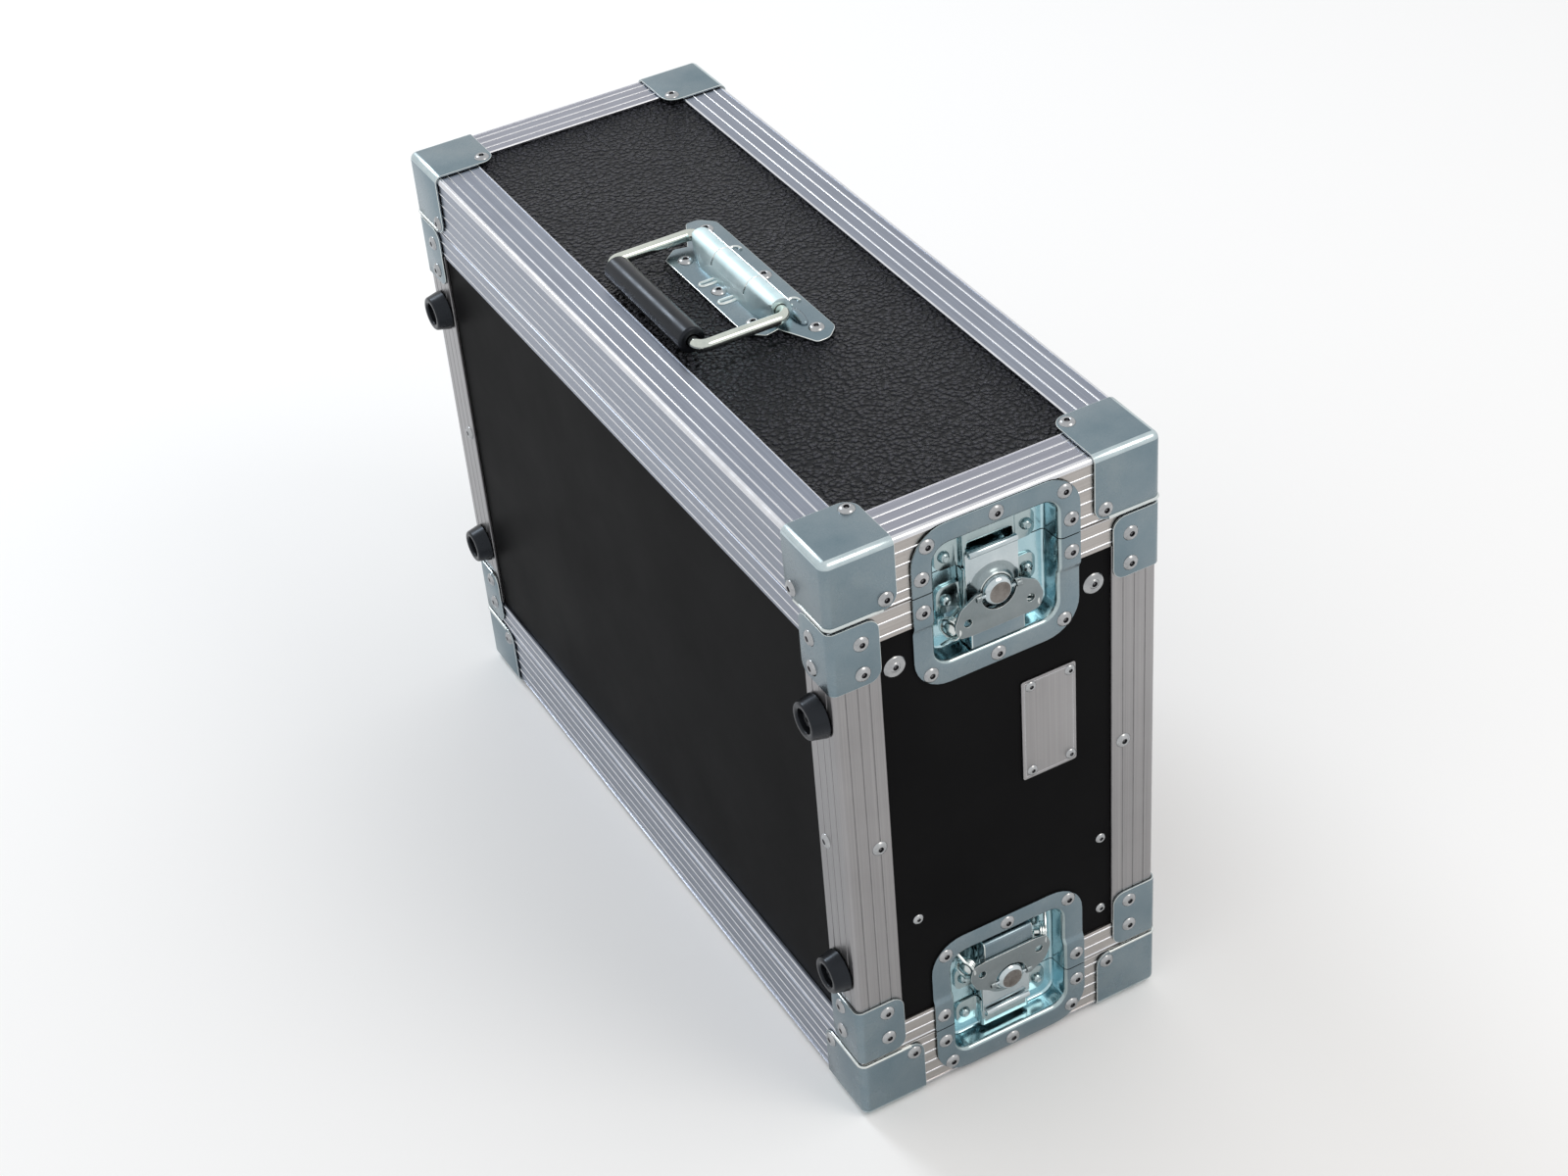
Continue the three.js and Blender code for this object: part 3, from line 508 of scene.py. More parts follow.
def arc(centre, radius, start, end, steps=ARC_STEPS):
    """Points on an arc between two angles in degrees."""
    angles = [math.radians(start + (end - start) * step / steps) for step in range(steps + 1)]
    return [(centre[0] + radius * math.cos(a), centre[1] + radius * math.sin(a)) for a in angles]


def outline(corners):
    """A flat outline from (x, y, radius) corners, in order, each rounded by its radius."""
    points = []
    for index, (x, y, radius) in enumerate(corners):
        here = Vector((x, y))
        before = (Vector(corners[index - 1][:2]) - here).normalized()
        after = (Vector(corners[(index + 1) % len(corners)][:2]) - here).normalized()
        if radius == 0:
            points.append(tuple(here))
            continue
        half = before.angle(after) / 2
        centre = here + (before + after).normalized() * radius / math.sin(half)
        start = here + before * radius / math.tan(half) - centre
        turn = (math.pi - 2 * half) * (1 if before.x * after.y - before.y * after.x < 0 else -1)
        for step in range(ARC_STEPS + 1):
            spoke = start.copy()
            spoke.rotate(Matrix.Rotation(turn * step / ARC_STEPS, 2))
            points.append(tuple(centre + spoke))
    return points


def both_sides(right):
    """Points of a right half, and those of its mirror image on the way back."""
    return [*right, *[(-point[0], *point[1:]) for point in reversed(right)]]


def rectangle(x0, y0, x1, y1, radii=(0, 0, 0, 0)):
    """A rectangle as outline corners, with one radius at each corner from the low one round."""
    places = [(x0, y0), (x1, y0), (x1, y1), (x0, y1)]
    return outline([(*place, radius) for place, radius in zip(places, radii)])


def on_axis(axis, along, across):
    """A point from its place along an axis and its place across it, in the order x, y, z."""
    point = list(across)
    point.insert("xyz".index(axis), along)
    return tuple(point)


def prism(points, axis, low, high):
    """A flat outline drawn out along an axis."""
    count = len(points)
    vertices = [on_axis(axis, level, point) for level in (low, high) for point in points]
    sides = [(i, (i + 1) % count, (i + 1) % count + count, i + count) for i in range(count)]
    return form_of(vertices, [*sides, tuple(range(count)), tuple(range(2 * count - 1, count - 1, -1))])


def rod(axis, centre, radius, low, high, sides):
    """A straight round rod along an axis."""
    return prism(arc(centre, radius, 0, 360, sides)[:-1], axis, low, high)


def block(low, high):
    """A straight block between two opposite corners."""
    return prism(rectangle(low[1], low[2], high[1], high[2]), "x", low[0], high[0])


def rounded_block(low, high, radius):
    return modified(block(low, high), "BEVEL", width=radius, segments=ARC_STEPS, limit_method="NONE")


def loft(loops, closed=True):
    """A closed form through loops of points that match one to one, with flat ends."""
    count = len(loops[0])
    vertices = [point for loop in loops for point in loop]
    faces = []
    for row in range(len(loops) - 1):
        for i in range(count if closed else count - 1):
            j = (i + 1) % count
            low = row * count
            faces.append((low + i, low + j, low + count + j, low + count + i))
    ends = [tuple(range(count)), tuple(range(len(vertices) - 1, len(vertices) - count - 1, -1))]
    return form_of(vertices, [*faces, *ends] if closed else faces)


def turned(profile, axis, centre=(0, 0, 0), sides=RIVET_SIDES):
    """A turned form from (radius, height) points that lie on the axis at both ends, or close up."""
    rings = []
    vertices = []
    for radius, height in profile:
        turns = [2 * math.pi * side / sides for side in range(sides if radius else 1)]
        rings.append(range(len(vertices), len(vertices) + len(turns)))
        for turn in turns:
            spoke = radius * math.cos(turn), radius * math.sin(turn)
            vertices.append(Vector(on_axis(axis, height, spoke)) + Vector(centre))
    if profile[0][0] > 0:
        rings.append(rings[0])
    faces = []
    for low, high in zip(rings, rings[1:]):
        for side in range(sides):
            after = (side + 1) % sides
            corners = [(low, side), (low, after), (high, after), (high, side)]
            face = list(dict.fromkeys(ring[place % len(ring)] for ring, place in corners))
            if len(face) > 2:
                faces.append(face)
    return form_of(vertices, faces)


def tube(path, radius, sides):
    """A round tube along a path of points, with flat ends."""
    points = [Vector(point) for point in path]
    loops = []
    normal = None
    for index, point in enumerate(points):
        along = (points[min(index + 1, len(points) - 1)] - points[max(index - 1, 0)]).normalized()
        if normal is None:
            normal = along.orthogonal().normalized()
        normal = (normal - along * normal.dot(along)).normalized()
        across = along.cross(normal)
        turns = [2 * math.pi * side / sides for side in range(sides)]
        loops.append([point + radius * (math.cos(a) * normal + math.sin(a) * across) for a in turns])
    return loft(loops)


def add_piece(name, form, looks, body, nodes=()):
    """A finished piece that rides on a body and stands for CAD nodes."""
    bmesh.ops.transform(form, matrix=Matrix.Translation(CENTRE), verts=form.verts)
    for face in form.faces:
        face.material_index = min(face.material_index, len(looks) - 1)
    mesh = mesh_of(name, form)
    form.free()
    mesh.shade_smooth()
    mesh.set_sharp_from_angle(angle=SMOOTH_ANGLE)
    for look in looks:
        mesh.materials.append(look)
    piece = placed(name, mesh)
    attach(piece, body)
    if nodes:
        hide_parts(*nodes)


def dress(kind, node, form, looks, body):
    """The finished piece of one CAD node."""
    add_piece(f"{kind}_{node}", form, looks, body, [node])


# Materials

class Nodes:
    """A tree of nodes and the shader that they feed."""

    def __init__(self, tree, shader):
        self.nodes = tree.nodes
        self.links = tree.links
        self.shader = self.nodes[shader]

    def set(self, socket, source):
        if isinstance(source, bpy.types.NodeSocket):
            self.links.new(source, socket)
        else:
            socket.default_value = source

    def feed(self, node, **sources):
        for socket, source in sources.items():
            self.set(node.inputs[socket.replace("_", " ")], source)

    def node(self, kind, **sources):
        """A new node with its inputs linked or set."""
        node = self.nodes.new(kind)
        self.feed(node, **sources)
        return node

    def operation(self, kind, operation, *sources):
        """What a node makes of its sources, taken in order."""
        node = self.node(kind)
        node.operation = operation
        for socket, source in zip(node.inputs, sources):
            self.set(socket, source)
        return node.outputs[0]

    def math(self, operation, first, second):
        return self.operation("ShaderNodeMath", operation, first, second)

    def range(self, source, low, high, new_low, new_high):
        """A value moved from one range to another, and kept inside it."""
        node = self.node("ShaderNodeMapRange")
        for socket, value in zip(node.inputs, (source, low, high, new_low, new_high)):
            self.set(socket, value)
        return node.outputs["Result"]


class Look(Nodes):
    """A material and what its colour, polish and relief are made of."""

    def __init__(self, name, **shader):
        self.material = bpy.data.materials.new(name)
        self.material.use_nodes = True
        super().__init__(self.material.node_tree, "Principled BSDF")
        self.feed(self.shader, **shader)
        self.place = self.node("ShaderNodeTexCoord").outputs["Object"]

    def noise(self, scale, detail=3, roughness=0.6, place=None):
        node = self.node("ShaderNodeTexNoise", Vector=place or self.place)
        self.feed(node, Scale=scale, Detail=detail, Roughness=roughness)
        return node.outputs["Fac"]

    def blend(self, first, second, share):
        """A mix of two values with a share of the first."""
        parts = self.math("MULTIPLY", first, share), self.math("MULTIPLY", second, 1 - share)
        return self.math("ADD", *parts)

    def colours(self, source, stops):
        """A colour ramp through (position, colour) stops."""
        node = self.node("ShaderNodeValToRGB", Fac=source)
        elements = node.color_ramp.elements
        while len(elements) < len(stops):
            elements.new(0.5)
        for element, (position, colour) in zip(elements, stops):
            element.position = position
            element.color = (*colour, 1)
        return node.outputs["Color"]

    def finish(self, tone, stops, polish, roughness):
        """The colour from a tone, and the roughness from a noise, between two values."""
        colour = self.colours(tone, stops)
        self.feed(self.shader, Base_Color=colour, Roughness=self.range(polish, *NOISE_RANGE, *roughness))

    def bump(self, height, distance, strength):
        """Relief, laid over what relief there is."""
        node = self.node("ShaderNodeBump", Height=height, Distance=distance, Strength=strength)
        last = self.shader.inputs["Normal"]
        if last.is_linked:
            self.links.new(last.links[0].from_socket, node.inputs["Normal"])
        self.links.new(node.outputs["Normal"], last)


def brushed_aluminium(name, axis, dark, light):
    """Extruded aluminium with die lines along one axis, between two tones."""
    look = Look(name, Metallic=1)
    across, along = 900, 4
    scale = [along if letter == axis else across for letter in "xyz"]
    lines = look.node("ShaderNodeMapping", Vector=look.place, Scale=scale).outputs["Vector"]
    streaks = look.noise(1, 4, 0.65, lines)
    clouds = look.noise(14, 4)
    tone = look.blend(streaks, clouds, 0.6)
    look.finish(tone, list(zip(NOISE_RANGE, (dark, light))), clouds, (0.26, 0.38))
    look.bump(streaks, 0.02 * MM, 0.5)
    return look.material


def plating(name, colours, roughness, cloud_scale=22):
    """Metal plating: drifting colour, fine grain, and a polish that varies between two roughnesses."""
    look = Look(name, Metallic=1)
    clouds = look.noise(cloud_scale, 5)
    grain = look.noise(900)
    tone = look.blend(clouds, grain, 0.75)
    low, high = TONE_RANGE
    step = (high - low) / (len(colours) - 1)
    stops = [(low + step * index, colour) for index, colour in enumerate(colours)]
    look.finish(tone, stops, clouds, roughness)
    look.bump(grain, 0.03 * MM, 0.35)
    return look.material


def black_laminate():
    """Smooth black board with a faint orange peel."""
    look = Look("black_laminate", Specular_IOR_Level=0.012)
    clouds = look.noise(9, 4)
    peel = look.noise(700)
    stops = [(0.3, (0.0058, 0.0058, 0.0062)), (0.7, (0.0080, 0.0080, 0.0084))]
    look.finish(clouds, stops, clouds, (0.36, 0.48))
    look.bump(peel, 0.05 * MM, 0.5)
    return look.material


def leather_grain():
    """Black covering pressed with a leather grain: small pebbles between fine creases, the pebble tops
    painted lighter and bluer as highlights and the creases painted near black as shade.
    """
    look = Look("leather_grain", Specular_IOR_Level=0.18, Specular_Tint=(0.78, 0.85, 1, 1))
    warp = look.node("ShaderNodeTexNoise", Vector=look.place, Scale=260, Detail=2).outputs["Color"]
    reach = (0.0032, 0.0032, 0.0032)
    warped = look.operation("ShaderNodeVectorMath", "MULTIPLY_ADD", warp, reach, look.place)
    cells = look.node("ShaderNodeTexVoronoi", Vector=warped, Scale=320).outputs["Distance"]
    pebbles = look.range(cells, 0.72, 0.08, 0, 1)
    fine = look.noise(1900)
    # Painted shade in the creases, rising to a painted highlight on the pebble tops
    stops = [
        (0.08, (0.0008, 0.0008, 0.001)),
        (0.30, (0.009, 0.009, 0.0105)),
        (0.60, (0.026, 0.026, 0.031)),
        (0.90, (0.055, 0.055, 0.066)),
    ]
    look.finish(pebbles, stops, look.noise(30), (0.24, 0.32))
    look.bump(pebbles, 3.2 * MM, 1)
    look.bump(fine, 0.06 * MM, 0.6)
    return look.material


def black_rubber(name, roughness, specular):
    look = Look(name, Specular_IOR_Level=specular, Specular_Tint=(0.78, 0.87, 1, 1))
    clouds = look.noise(70, 4)
    stops = [(0.3, (0.004, 0.0045, 0.0055)), (0.7, (0.007, 0.0075, 0.009))]
    look.finish(clouds, stops, clouds, roughness)
    look.bump(look.noise(1600), 0.04 * MM, 0.5)
    return look.material


def powder_coat():
    look = Look("powder_coat", Specular_IOR_Level=0.4)
    peel = look.noise(1500)
    stops = [(0.3, (0.016, 0.016, 0.017)), (0.7, (0.024, 0.024, 0.025))]
    look.finish(look.noise(40, roughness=0.5), stops, peel, (0.42, 0.55))
    look.bump(peel, 0.06 * MM, 0.6)
    return look.material


# Four copies of one extruded aluminium, each painted with the light and shade that falls on its faces: the
# long runs and the tops of the end runs in a cool bluish shade, the end walls lit and warm, the uprights
# in a plain grey between them.
LIT_AND_SHADED_ALUMINIUM = {
    "long": brushed_aluminium("aluminium_long", "x", (0.21, 0.23, 0.28), (0.31, 0.34, 0.40)),
    "end": brushed_aluminium("aluminium_end", "y", (0.37, 0.35, 0.335), (0.50, 0.475, 0.455)),
    "end_top": brushed_aluminium("aluminium_end_top", "y", (0.26, 0.27, 0.315), (0.37, 0.38, 0.43)),
    "upright": brushed_aluminium("aluminium_upright", "z", (0.275, 0.27, 0.275), (0.38, 0.373, 0.378)),
}
# Rib tops, rounded edges and the name plate's bevels painted light as a highlight.
RIDGE_HIGHLIGHT = plating("ridge_highlight_aluminium", [(0.60, 0.61, 0.64), (0.74, 0.75, 0.78)], (0.2, 0.3), 60)
ZINC_TONES = [(0.158, 0.222, 0.258), (0.203, 0.262, 0.295), (0.255, 0.305, 0.328)]
ZINC = plating("zinc_sheet", ZINC_TONES, (0.2, 0.32))
ZINC_HIGHLIGHT = plating("zinc_highlight", [(0.56, 0.62, 0.62), (0.72, 0.74, 0.72)], (0.14, 0.24), 60)
ZINC_INNER_REFLECTION = plating("zinc_inner_reflection", [(0.35, 0.53, 0.585), (0.51, 0.69, 0.74)], (0.12, 0.22), 60)
ZINC_BEND_HIGHLIGHT = plating("zinc_bend_highlight", [(0.40, 0.49, 0.52), (0.56, 0.64, 0.66)], (0.16, 0.26), 60)
ZINC_MID_HIGHLIGHT = plating("zinc_mid_highlight", [(0.30, 0.38, 0.395), (0.44, 0.52, 0.53)], (0.12, 0.24), 60)
BARREL_HIGHLIGHT = plating("barrel_highlight_zinc", [(0.56, 0.74, 0.78), (0.74, 0.87, 0.90)], (0.42, 0.52), 60)
DOME_SHADE = plating("dome_shade_steel", [(0.20, 0.25, 0.265), (0.31, 0.36, 0.375)], (0.2, 0.3), 60)
BRIGHT = plating("zinc_bright", [(0.42, 0.49, 0.52), (0.58, 0.64, 0.66)], (0.1, 0.2), 60)
ROD = plating("zinc_rod", [(0.50, 0.54, 0.50), (0.66, 0.69, 0.62)], (0.05, 0.1), 60)
SATIN = plating("satin_steel", [(0.20, 0.235, 0.245), (0.26, 0.29, 0.30)], (0.26, 0.36), 40)
HUB_FACE_STEEL = plating("hub_face_steel", [(0.12, 0.108, 0.098), (0.26, 0.245, 0.23)], (0.2, 0.34), 140)
RIVETS = plating("rivet_aluminium", [(0.31, 0.32, 0.33), (0.45, 0.46, 0.47)], (0.18, 0.3), 160)
MANDREL_AND_HOLE_SHADE = plating("mandrel_steel_and_hole_shade", [(0.07, 0.07, 0.08), (0.22, 0.22, 0.23)], (0.25, 0.4), 700)
GROOVE_SHADE = plating("groove_shade_aluminium", [(0.21, 0.208, 0.212), (0.30, 0.295, 0.30)], (0.4, 0.5), 60)
LAMINATE = black_laminate()
LEATHER = leather_grain()
RUBBER = black_rubber("black_rubber", (0.2, 0.32), 0.32)
GRIP_RUBBER = black_rubber("grip_rubber", (0.24, 0.36), 0.3)
COATING = powder_coat()


def repaint(node, look):
    """A CAD node keeps its shape and gets a finished material."""
    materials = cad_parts[node].data.materials
    materials.clear()
    materials.append(look)


def dress_boards():
    for side in Y_NAMES.values():
        repaint(f"body_panel_{side}", LAMINATE)
    for side in X_NAMES.values():
        repaint(f"end_panel_{side}", LAMINATE)
        repaint(f"rack_rail_{side}", COATING)
    for side in LID_NAMES.values():
        repaint(f"{side}_lid_panel", LEATHER)


# Edging

def ribbed(start, end, ribs, outward):
    """A straight side with ridges at distances from its start, above ground that lies lower."""
    start, end, outward = Vector(start), Vector(end), Vector(outward)
    along = (end - start).normalized()
    ground = -outward * RIB_HEIGHT
    points = [start + ground]
    for rib in ribs:
        for place_share, rise_share in RIB_SHARES:
            place = start + along * (rib + place_share * RIB_HALF)
            points.append(place + ground + outward * RIB_HEIGHT * rise_share)
    points.append(end + ground)
    return [tuple(point) for point in points]


def swept_ring(profile):
    """A profile of (inset, level) points taken round the case, mitred at its corners."""
    form = loft([
        [(x * (HALF_LENGTH - inset), y * (HALF_WIDTH - inset), level) for inset, level in profile]
        for x, y in ((1, 1), (-1, 1), (-1, -1), (1, -1), (1, 1))
    ])
    for face in [face for face in form.faces if len(face.verts) == len(profile)]:
        form.faces.remove(face)
    bmesh.ops.remove_doubles(form, verts=form.verts, dist=MERGE)
    bmesh.ops.recalc_face_normals(form, faces=form.faces)
    return form


def end_blocks(from_depth, to_depth, half_y, low, high):
    """A block at each end of the case, between two depths from its outer face and two levels."""
    right = block((HALF_LENGTH - to_depth, -half_y, low), (HALF_LENGTH - from_depth, half_y, high))
    return gathered(right, moved(right, Matrix.Scale(-1, 4, X)))


# The run looks: the painted light and shade of each side of a ring, and the painted highlight of its
# ridges.
RUN_LOOKS = [LIT_AND_SHADED_ALUMINIUM["long"], LIT_AND_SHADED_ALUMINIUM["end"], LIT_AND_SHADED_ALUMINIUM["end_top"], RIDGE_HIGHLIGHT]
LONG_RUN, END_RUN, SHADED_END_TOP_RUN, HIGHLIGHT_RUN = range(LOOKS)


def run_at(middle):
    """The place, in the run looks, of a face of a ring: ridges and rounded edges get the painted
    highlight, other faces the painted light and shade of their side.
    """
    inset_x = HALF_LENGTH - abs(middle.x)
    inset_y = HALF_WIDTH - abs(middle.y)
    inset = min(inset_x, inset_y)
    level = HALF_HEIGHT - abs(middle.z)
    if min(inset, level) < RAISED_SHARE * RIB_HEIGHT or max(inset, level) < EDGE_ROUND:
        return HIGHLIGHT_RUN
    if inset_x >= inset_y:
        return LONG_RUN
    return END_RUN if inset < level else SHADED_END_TOP_RUN


def add_rings(form, kind, node, body):
    """A ribbed ring at the front and its mirror image at the rear, with {} where the lid's name goes."""
    painted_by(form, run_at)
    for sign, lid in LID_NAMES.items():
        ring = moved(form, Matrix.Scale(sign, 4, Z))
        nodes = [node.format(lid)]
        add_piece(f"{lid}_ribbed_{kind}", ring, RUN_LOOKS, body.format(lid), nodes)


def lid_profile():
    bottom = SEAM + GAP / 2
    top = HALF_HEIGHT
    slot_top = top - EDGING_WALL
    slot_bottom = top - BOARD_INNER - GAP
    ledge = slot_bottom - LEDGE_THICKNESS
    groove = LID_WALL + LID_GROOVE
    side_ribs = [SIDE_RIB_START + n * SIDE_RIB_PITCH for n in range(SIDE_RIBS)]
    flat_ribs = [n * FLAT_RIB_PITCH - EDGE_ROUND for n in range(1, FLAT_RIBS + 1)]
    return [
        (EDGE_LIP, bottom),
        (0, bottom + EDGE_CHAMFER),
        (0, bottom + EDGE_LIP),
        *ribbed((0, bottom + EDGE_ROUND / 2), (0, top - EDGE_ROUND), side_ribs, (-1, 0)),
        *arc((EDGE_ROUND, top - EDGE_ROUND), EDGE_ROUND, 180, 90),
        *ribbed((EDGE_ROUND, top), (EDGING_WIDTH - EDGE_LIP, top), flat_ribs, (0, 1)),
        (EDGING_WIDTH - EDGE_LIP, top),
        (EDGING_WIDTH - EDGE_CHAMFER, top),
        (EDGING_WIDTH, top - EDGE_CHAMFER),
        (EDGING_WIDTH, slot_top),
        (LID_WALL, slot_top),
        (LID_WALL, slot_bottom),
        (groove + LID_LEDGE, slot_bottom),
        (groove + LID_LEDGE, ledge),
        (groove + LID_WALL, ledge),
        (groove + LID_WALL, bottom),
        (groove, bottom),
        (groove, ledge),
        (LID_WALL, ledge),
        (LID_WALL, bottom),
    ]


def add_lid_edging():
    pockets = end_blocks(-OUT_OF_CASE, TRAY_BACK + GAP, CUT_HALF, SEAM - OUT_OF_CASE, SEAM + CUT_TOP)
    add_rings(cut(swept_ring(lid_profile()), pockets), "edging", "{}_lid_edging", "{}_lid")


def rim_profile():
    top = SEAM - GAP / 2
    bottom = SEAM - RIM_WIDTH
    tongue = LID_WALL + (LID_GROOVE - TONGUE_WIDTH) / 2
    inner = BOARD_INNER + GAP
    ribs = [RIM_WIDTH - n * SIDE_RIB_PITCH for n in (2, 1)]
    return [
        *ribbed((0, bottom), (0, top - EDGE_ROUND / 2), ribs, (-1, 0)),
        (0, top - EDGE_LIP),
        (0, top - EDGE_CHAMFER),
        (EDGE_LIP, top),
        (tongue, top),
        (tongue, SEAM + TONGUE_HEIGHT),
        (tongue + TONGUE_WIDTH, SEAM + TONGUE_HEIGHT),
        (tongue + TONGUE_WIDTH, top),
        (inner + RIM_INNER_WALL, top),
        (inner + RIM_INNER_WALL, SEAM - RIM_INNER_WIDTH),
        (inner, SEAM - RIM_INNER_WIDTH),
        (inner, top - RIM_WEB),
        (EDGING_WALL, top - RIM_WEB),
        (EDGING_WALL, bottom),
    ]


def add_rims():
    depth = TRAY_BACK + GAP
    lip_low, lip_high = SEAM - RIM_LIP_HEIGHT, SEAM - GAP
    lips = end_blocks(BOARD_INNER + GAP, depth + RIM_LIP_WIDTH, CUT_HALF + RIM_LIP_LAP, lip_low, lip_high)
    pockets = end_blocks(-OUT_OF_CASE, depth, CUT_HALF, SEAM - RIM_WIDTH - OUT_OF_CASE, SEAM + OUT_OF_CASE)
    add_rings(cut(joined(swept_ring(rim_profile()), lips), pockets), "rim", "{}_rim", "case_body")


def angle_look(middle):
    """The look of a face: groove faces painted darker as shade, and the flat between the grooves."""
    insets = HALF_LENGTH - middle.x, HALF_WIDTH - middle.y
    low, high = (share * GROOVE_DEPTH for share in GROOVE_FACE_SHARES)
    return PAINTED_LIGHT_LOOK if low < min(insets) < high and max(insets) > EDGE_ROUND else SHEET_LOOK


def add_edge_angles():
    half = SEAM - RIM_WIDTH - GAP
    side = []
    for n in range(1, FLAT_RIBS + 1):
        for place_share, depth_share in GROOVE_SHARES:
            place = n * FLAT_RIB_PITCH + place_share * GROOVE_HALF
            side.append((place, depth_share * GROOVE_DEPTH))
    profile = [
        (EDGING_WALL, EDGING_WIDTH),
        (EDGE_CHAMFER, EDGING_WIDTH),
        (0, EDGING_WIDTH - EDGE_CHAMFER),
        *[(depth, place) for place, depth in reversed(side)],
        *arc((EDGE_ROUND, EDGE_ROUND), EDGE_ROUND, 180, 270),
        *side,
        (EDGING_WIDTH - EDGE_CHAMFER, 0),
        (EDGING_WIDTH, EDGE_CHAMFER),
        (EDGING_WIDTH, EDGING_WALL),
        (EDGING_WALL, EDGING_WALL),
    ]
    form = prism([(HALF_LENGTH - x, HALF_WIDTH - y) for x, y in profile], "z", -half, half)
    painted_by(form, angle_look)
    looks = [LIT_AND_SHADED_ALUMINIUM["upright"], GROOVE_SHADE]
    for x, x_name in X_NAMES.items():
        for y, y_name in Y_NAMES.items():
            piece = moved(form, Matrix.Diagonal((x, y, 1, 1)))
            node = f"edge_angle_{x_name}_{y_name}"
            dress("grooved", node, piece, looks, "case_body")


# Rivets are gathered by the body that they ride on

rivet_forms = {"case_body": [], "front_lid": [], "rear_lid": []}


def head_points(shares):
    """Points of a rivet's head from shares of its radius and height."""
    return [(across * RIVET_RADIUS, up * RIVET_HEIGHT) for across, up in shares]


def rivet_form(profile, sides):
    """A rivet's head, a dome whose middle, the broken mandrel and the hollow round it, is painted dark:
    the mandrel's own steel, darkened as painted shade in the hole.
    """
    head = turned(profile, "z", sides=sides)
    return painted_by(head, lambda middle: PAINTED_LIGHT_LOOK if middle.xy.length < RIVET_HOLE else SHEET_LOOK)


RIVET = rivet_form(head_points(RIVET_SHARES), RIVET_SIDES)
FLANGED_RIVET = rivet_form([
    *head_points(FLANGED_SHARES),
    (FLANGED_RIVET_RADIUS - RIVET_HEIGHT / 3, FLANGE_TOP),
    (FLANGED_RIVET_RADIUS, FLANGE_FOOT),
    (FLANGED_RIVET_RADIUS, -RIVET_HEIGHT / 2),
    (0, -RIVET_HEIGHT / 2),
], FLANGED_SIDES)


def add_rivet(body, point, outward, form=RIVET, scale=1):
    """A rivet head on a surface point, facing outward."""
    turn = Z.rotation_difference(Vector(outward)).to_matrix().to_4x4()
    matrix = Matrix.Translation(point) @ turn @ Matrix.Diagonal((scale, scale, scale, 1))
    rivet_forms[body].append(moved(form, matrix))


def add_rivets():
    for body, forms in rivet_forms.items():
        add_piece(f"{body}_rivets", gathered(*forms), [RIVETS, MANDREL_AND_HOLE_SHADE], body)


def add_rivet_pair(x, y, out, inset, level):
    """A rivet on each face beside an upright edge of the case."""
    add_rivet("case_body", (x * (HALF_LENGTH + out), y * (HALF_WIDTH - inset), level), x * X)
    add_rivet("case_body", (x * (HALF_LENGTH - inset), y * (HALF_WIDTH + out), level), y * Y)


def add_edge_rivets():
    for x in SIGNS:
        for y in SIGNS:
            add_rivet_pair(x, y, 0, EDGE_RIVET, 0)


def add_end_rivets():
    face = HALF_LENGTH - BOARD_INSET
    for x in SIGNS:
        for y, z in FLANGED_PLACES_MM:
            add_rivet("case_body", (x * face, x * y * MM, z * MM), x * X, FLANGED_RIVET)
        for y, z in SMALL_PLACES_MM:
            add_rivet("case_body", (x * face, x * y * MM, z * MM), x * X, scale=SMALL_RIVET_SCALE)


# Pressed corners and braces

def at_corner(form, x, y, z, level):
    """A form made at the corner of the +X, +Y and +Z sides, taken to another corner at a level."""
    place = Matrix.Translation((x * HALF_LENGTH, y * HALF_WIDTH, z * level))
    return moved(form, place @ Matrix.Diagonal((x, y, z, 1)))


def pressed_shell(outer, inner, leg, axes):
    """Sheet between an outer and an inner form, with a leg of the same outline across each axis."""
    legs = [prism(leg, axis, -EDGE_ROUND - PLATE, OUT_OF_CASE) for axis in axes]
    return within(cut(outer, inner), joined(*legs))


def rolled_lip():
    """The rolled edge along the lower end of a lid's corner, painted light as a highlight."""
    out = PLATE_OUT - LIP_RADIUS / 3
    end = CORNER_ROUND - CORNER_LEG
    level = LIP_RADIUS / 2 - CORNER_LEG
    bend = arc((-EDGE_ROUND, -EDGE_ROUND), EDGE_ROUND + out, 0, 90)
    path = [(x, y, level) for x, y in [(out, end), *bend, (end, out)]]
    return painted(tube(path, LIP_RADIUS, LIP_SIDES), PAINTED_LIGHT_LOOK)


def corner_cap():
    """A lid's corner: a rounded shell with three legs, its upper bends painted lighter as a highlight."""
    far = -CORNER_LEG - OUT_OF_CASE
    outer = rounded_block((far,) * 3, (PLATE_OUT,) * 3, CAP_ROUND)
    inner = rounded_block((far - OVERCUT,) * 3, (GAP,) * 3, CAP_ROUND - PLATE)
    leg = rectangle(-CORNER_LEG, -CORNER_LEG, OUT_OF_CASE, OUT_OF_CASE, (CORNER_ROUND, 0, 0, 0))
    cap = pressed_shell(outer, inner, leg, "xyz")
    upward, straight = UPPER_BEND_SLOPES
    for face in cap.faces:
        if face.normal.z > upward and max(face.normal) < straight:
            face.material_index = INNER_LOOK
    return gathered(softened(cap), rolled_lip())


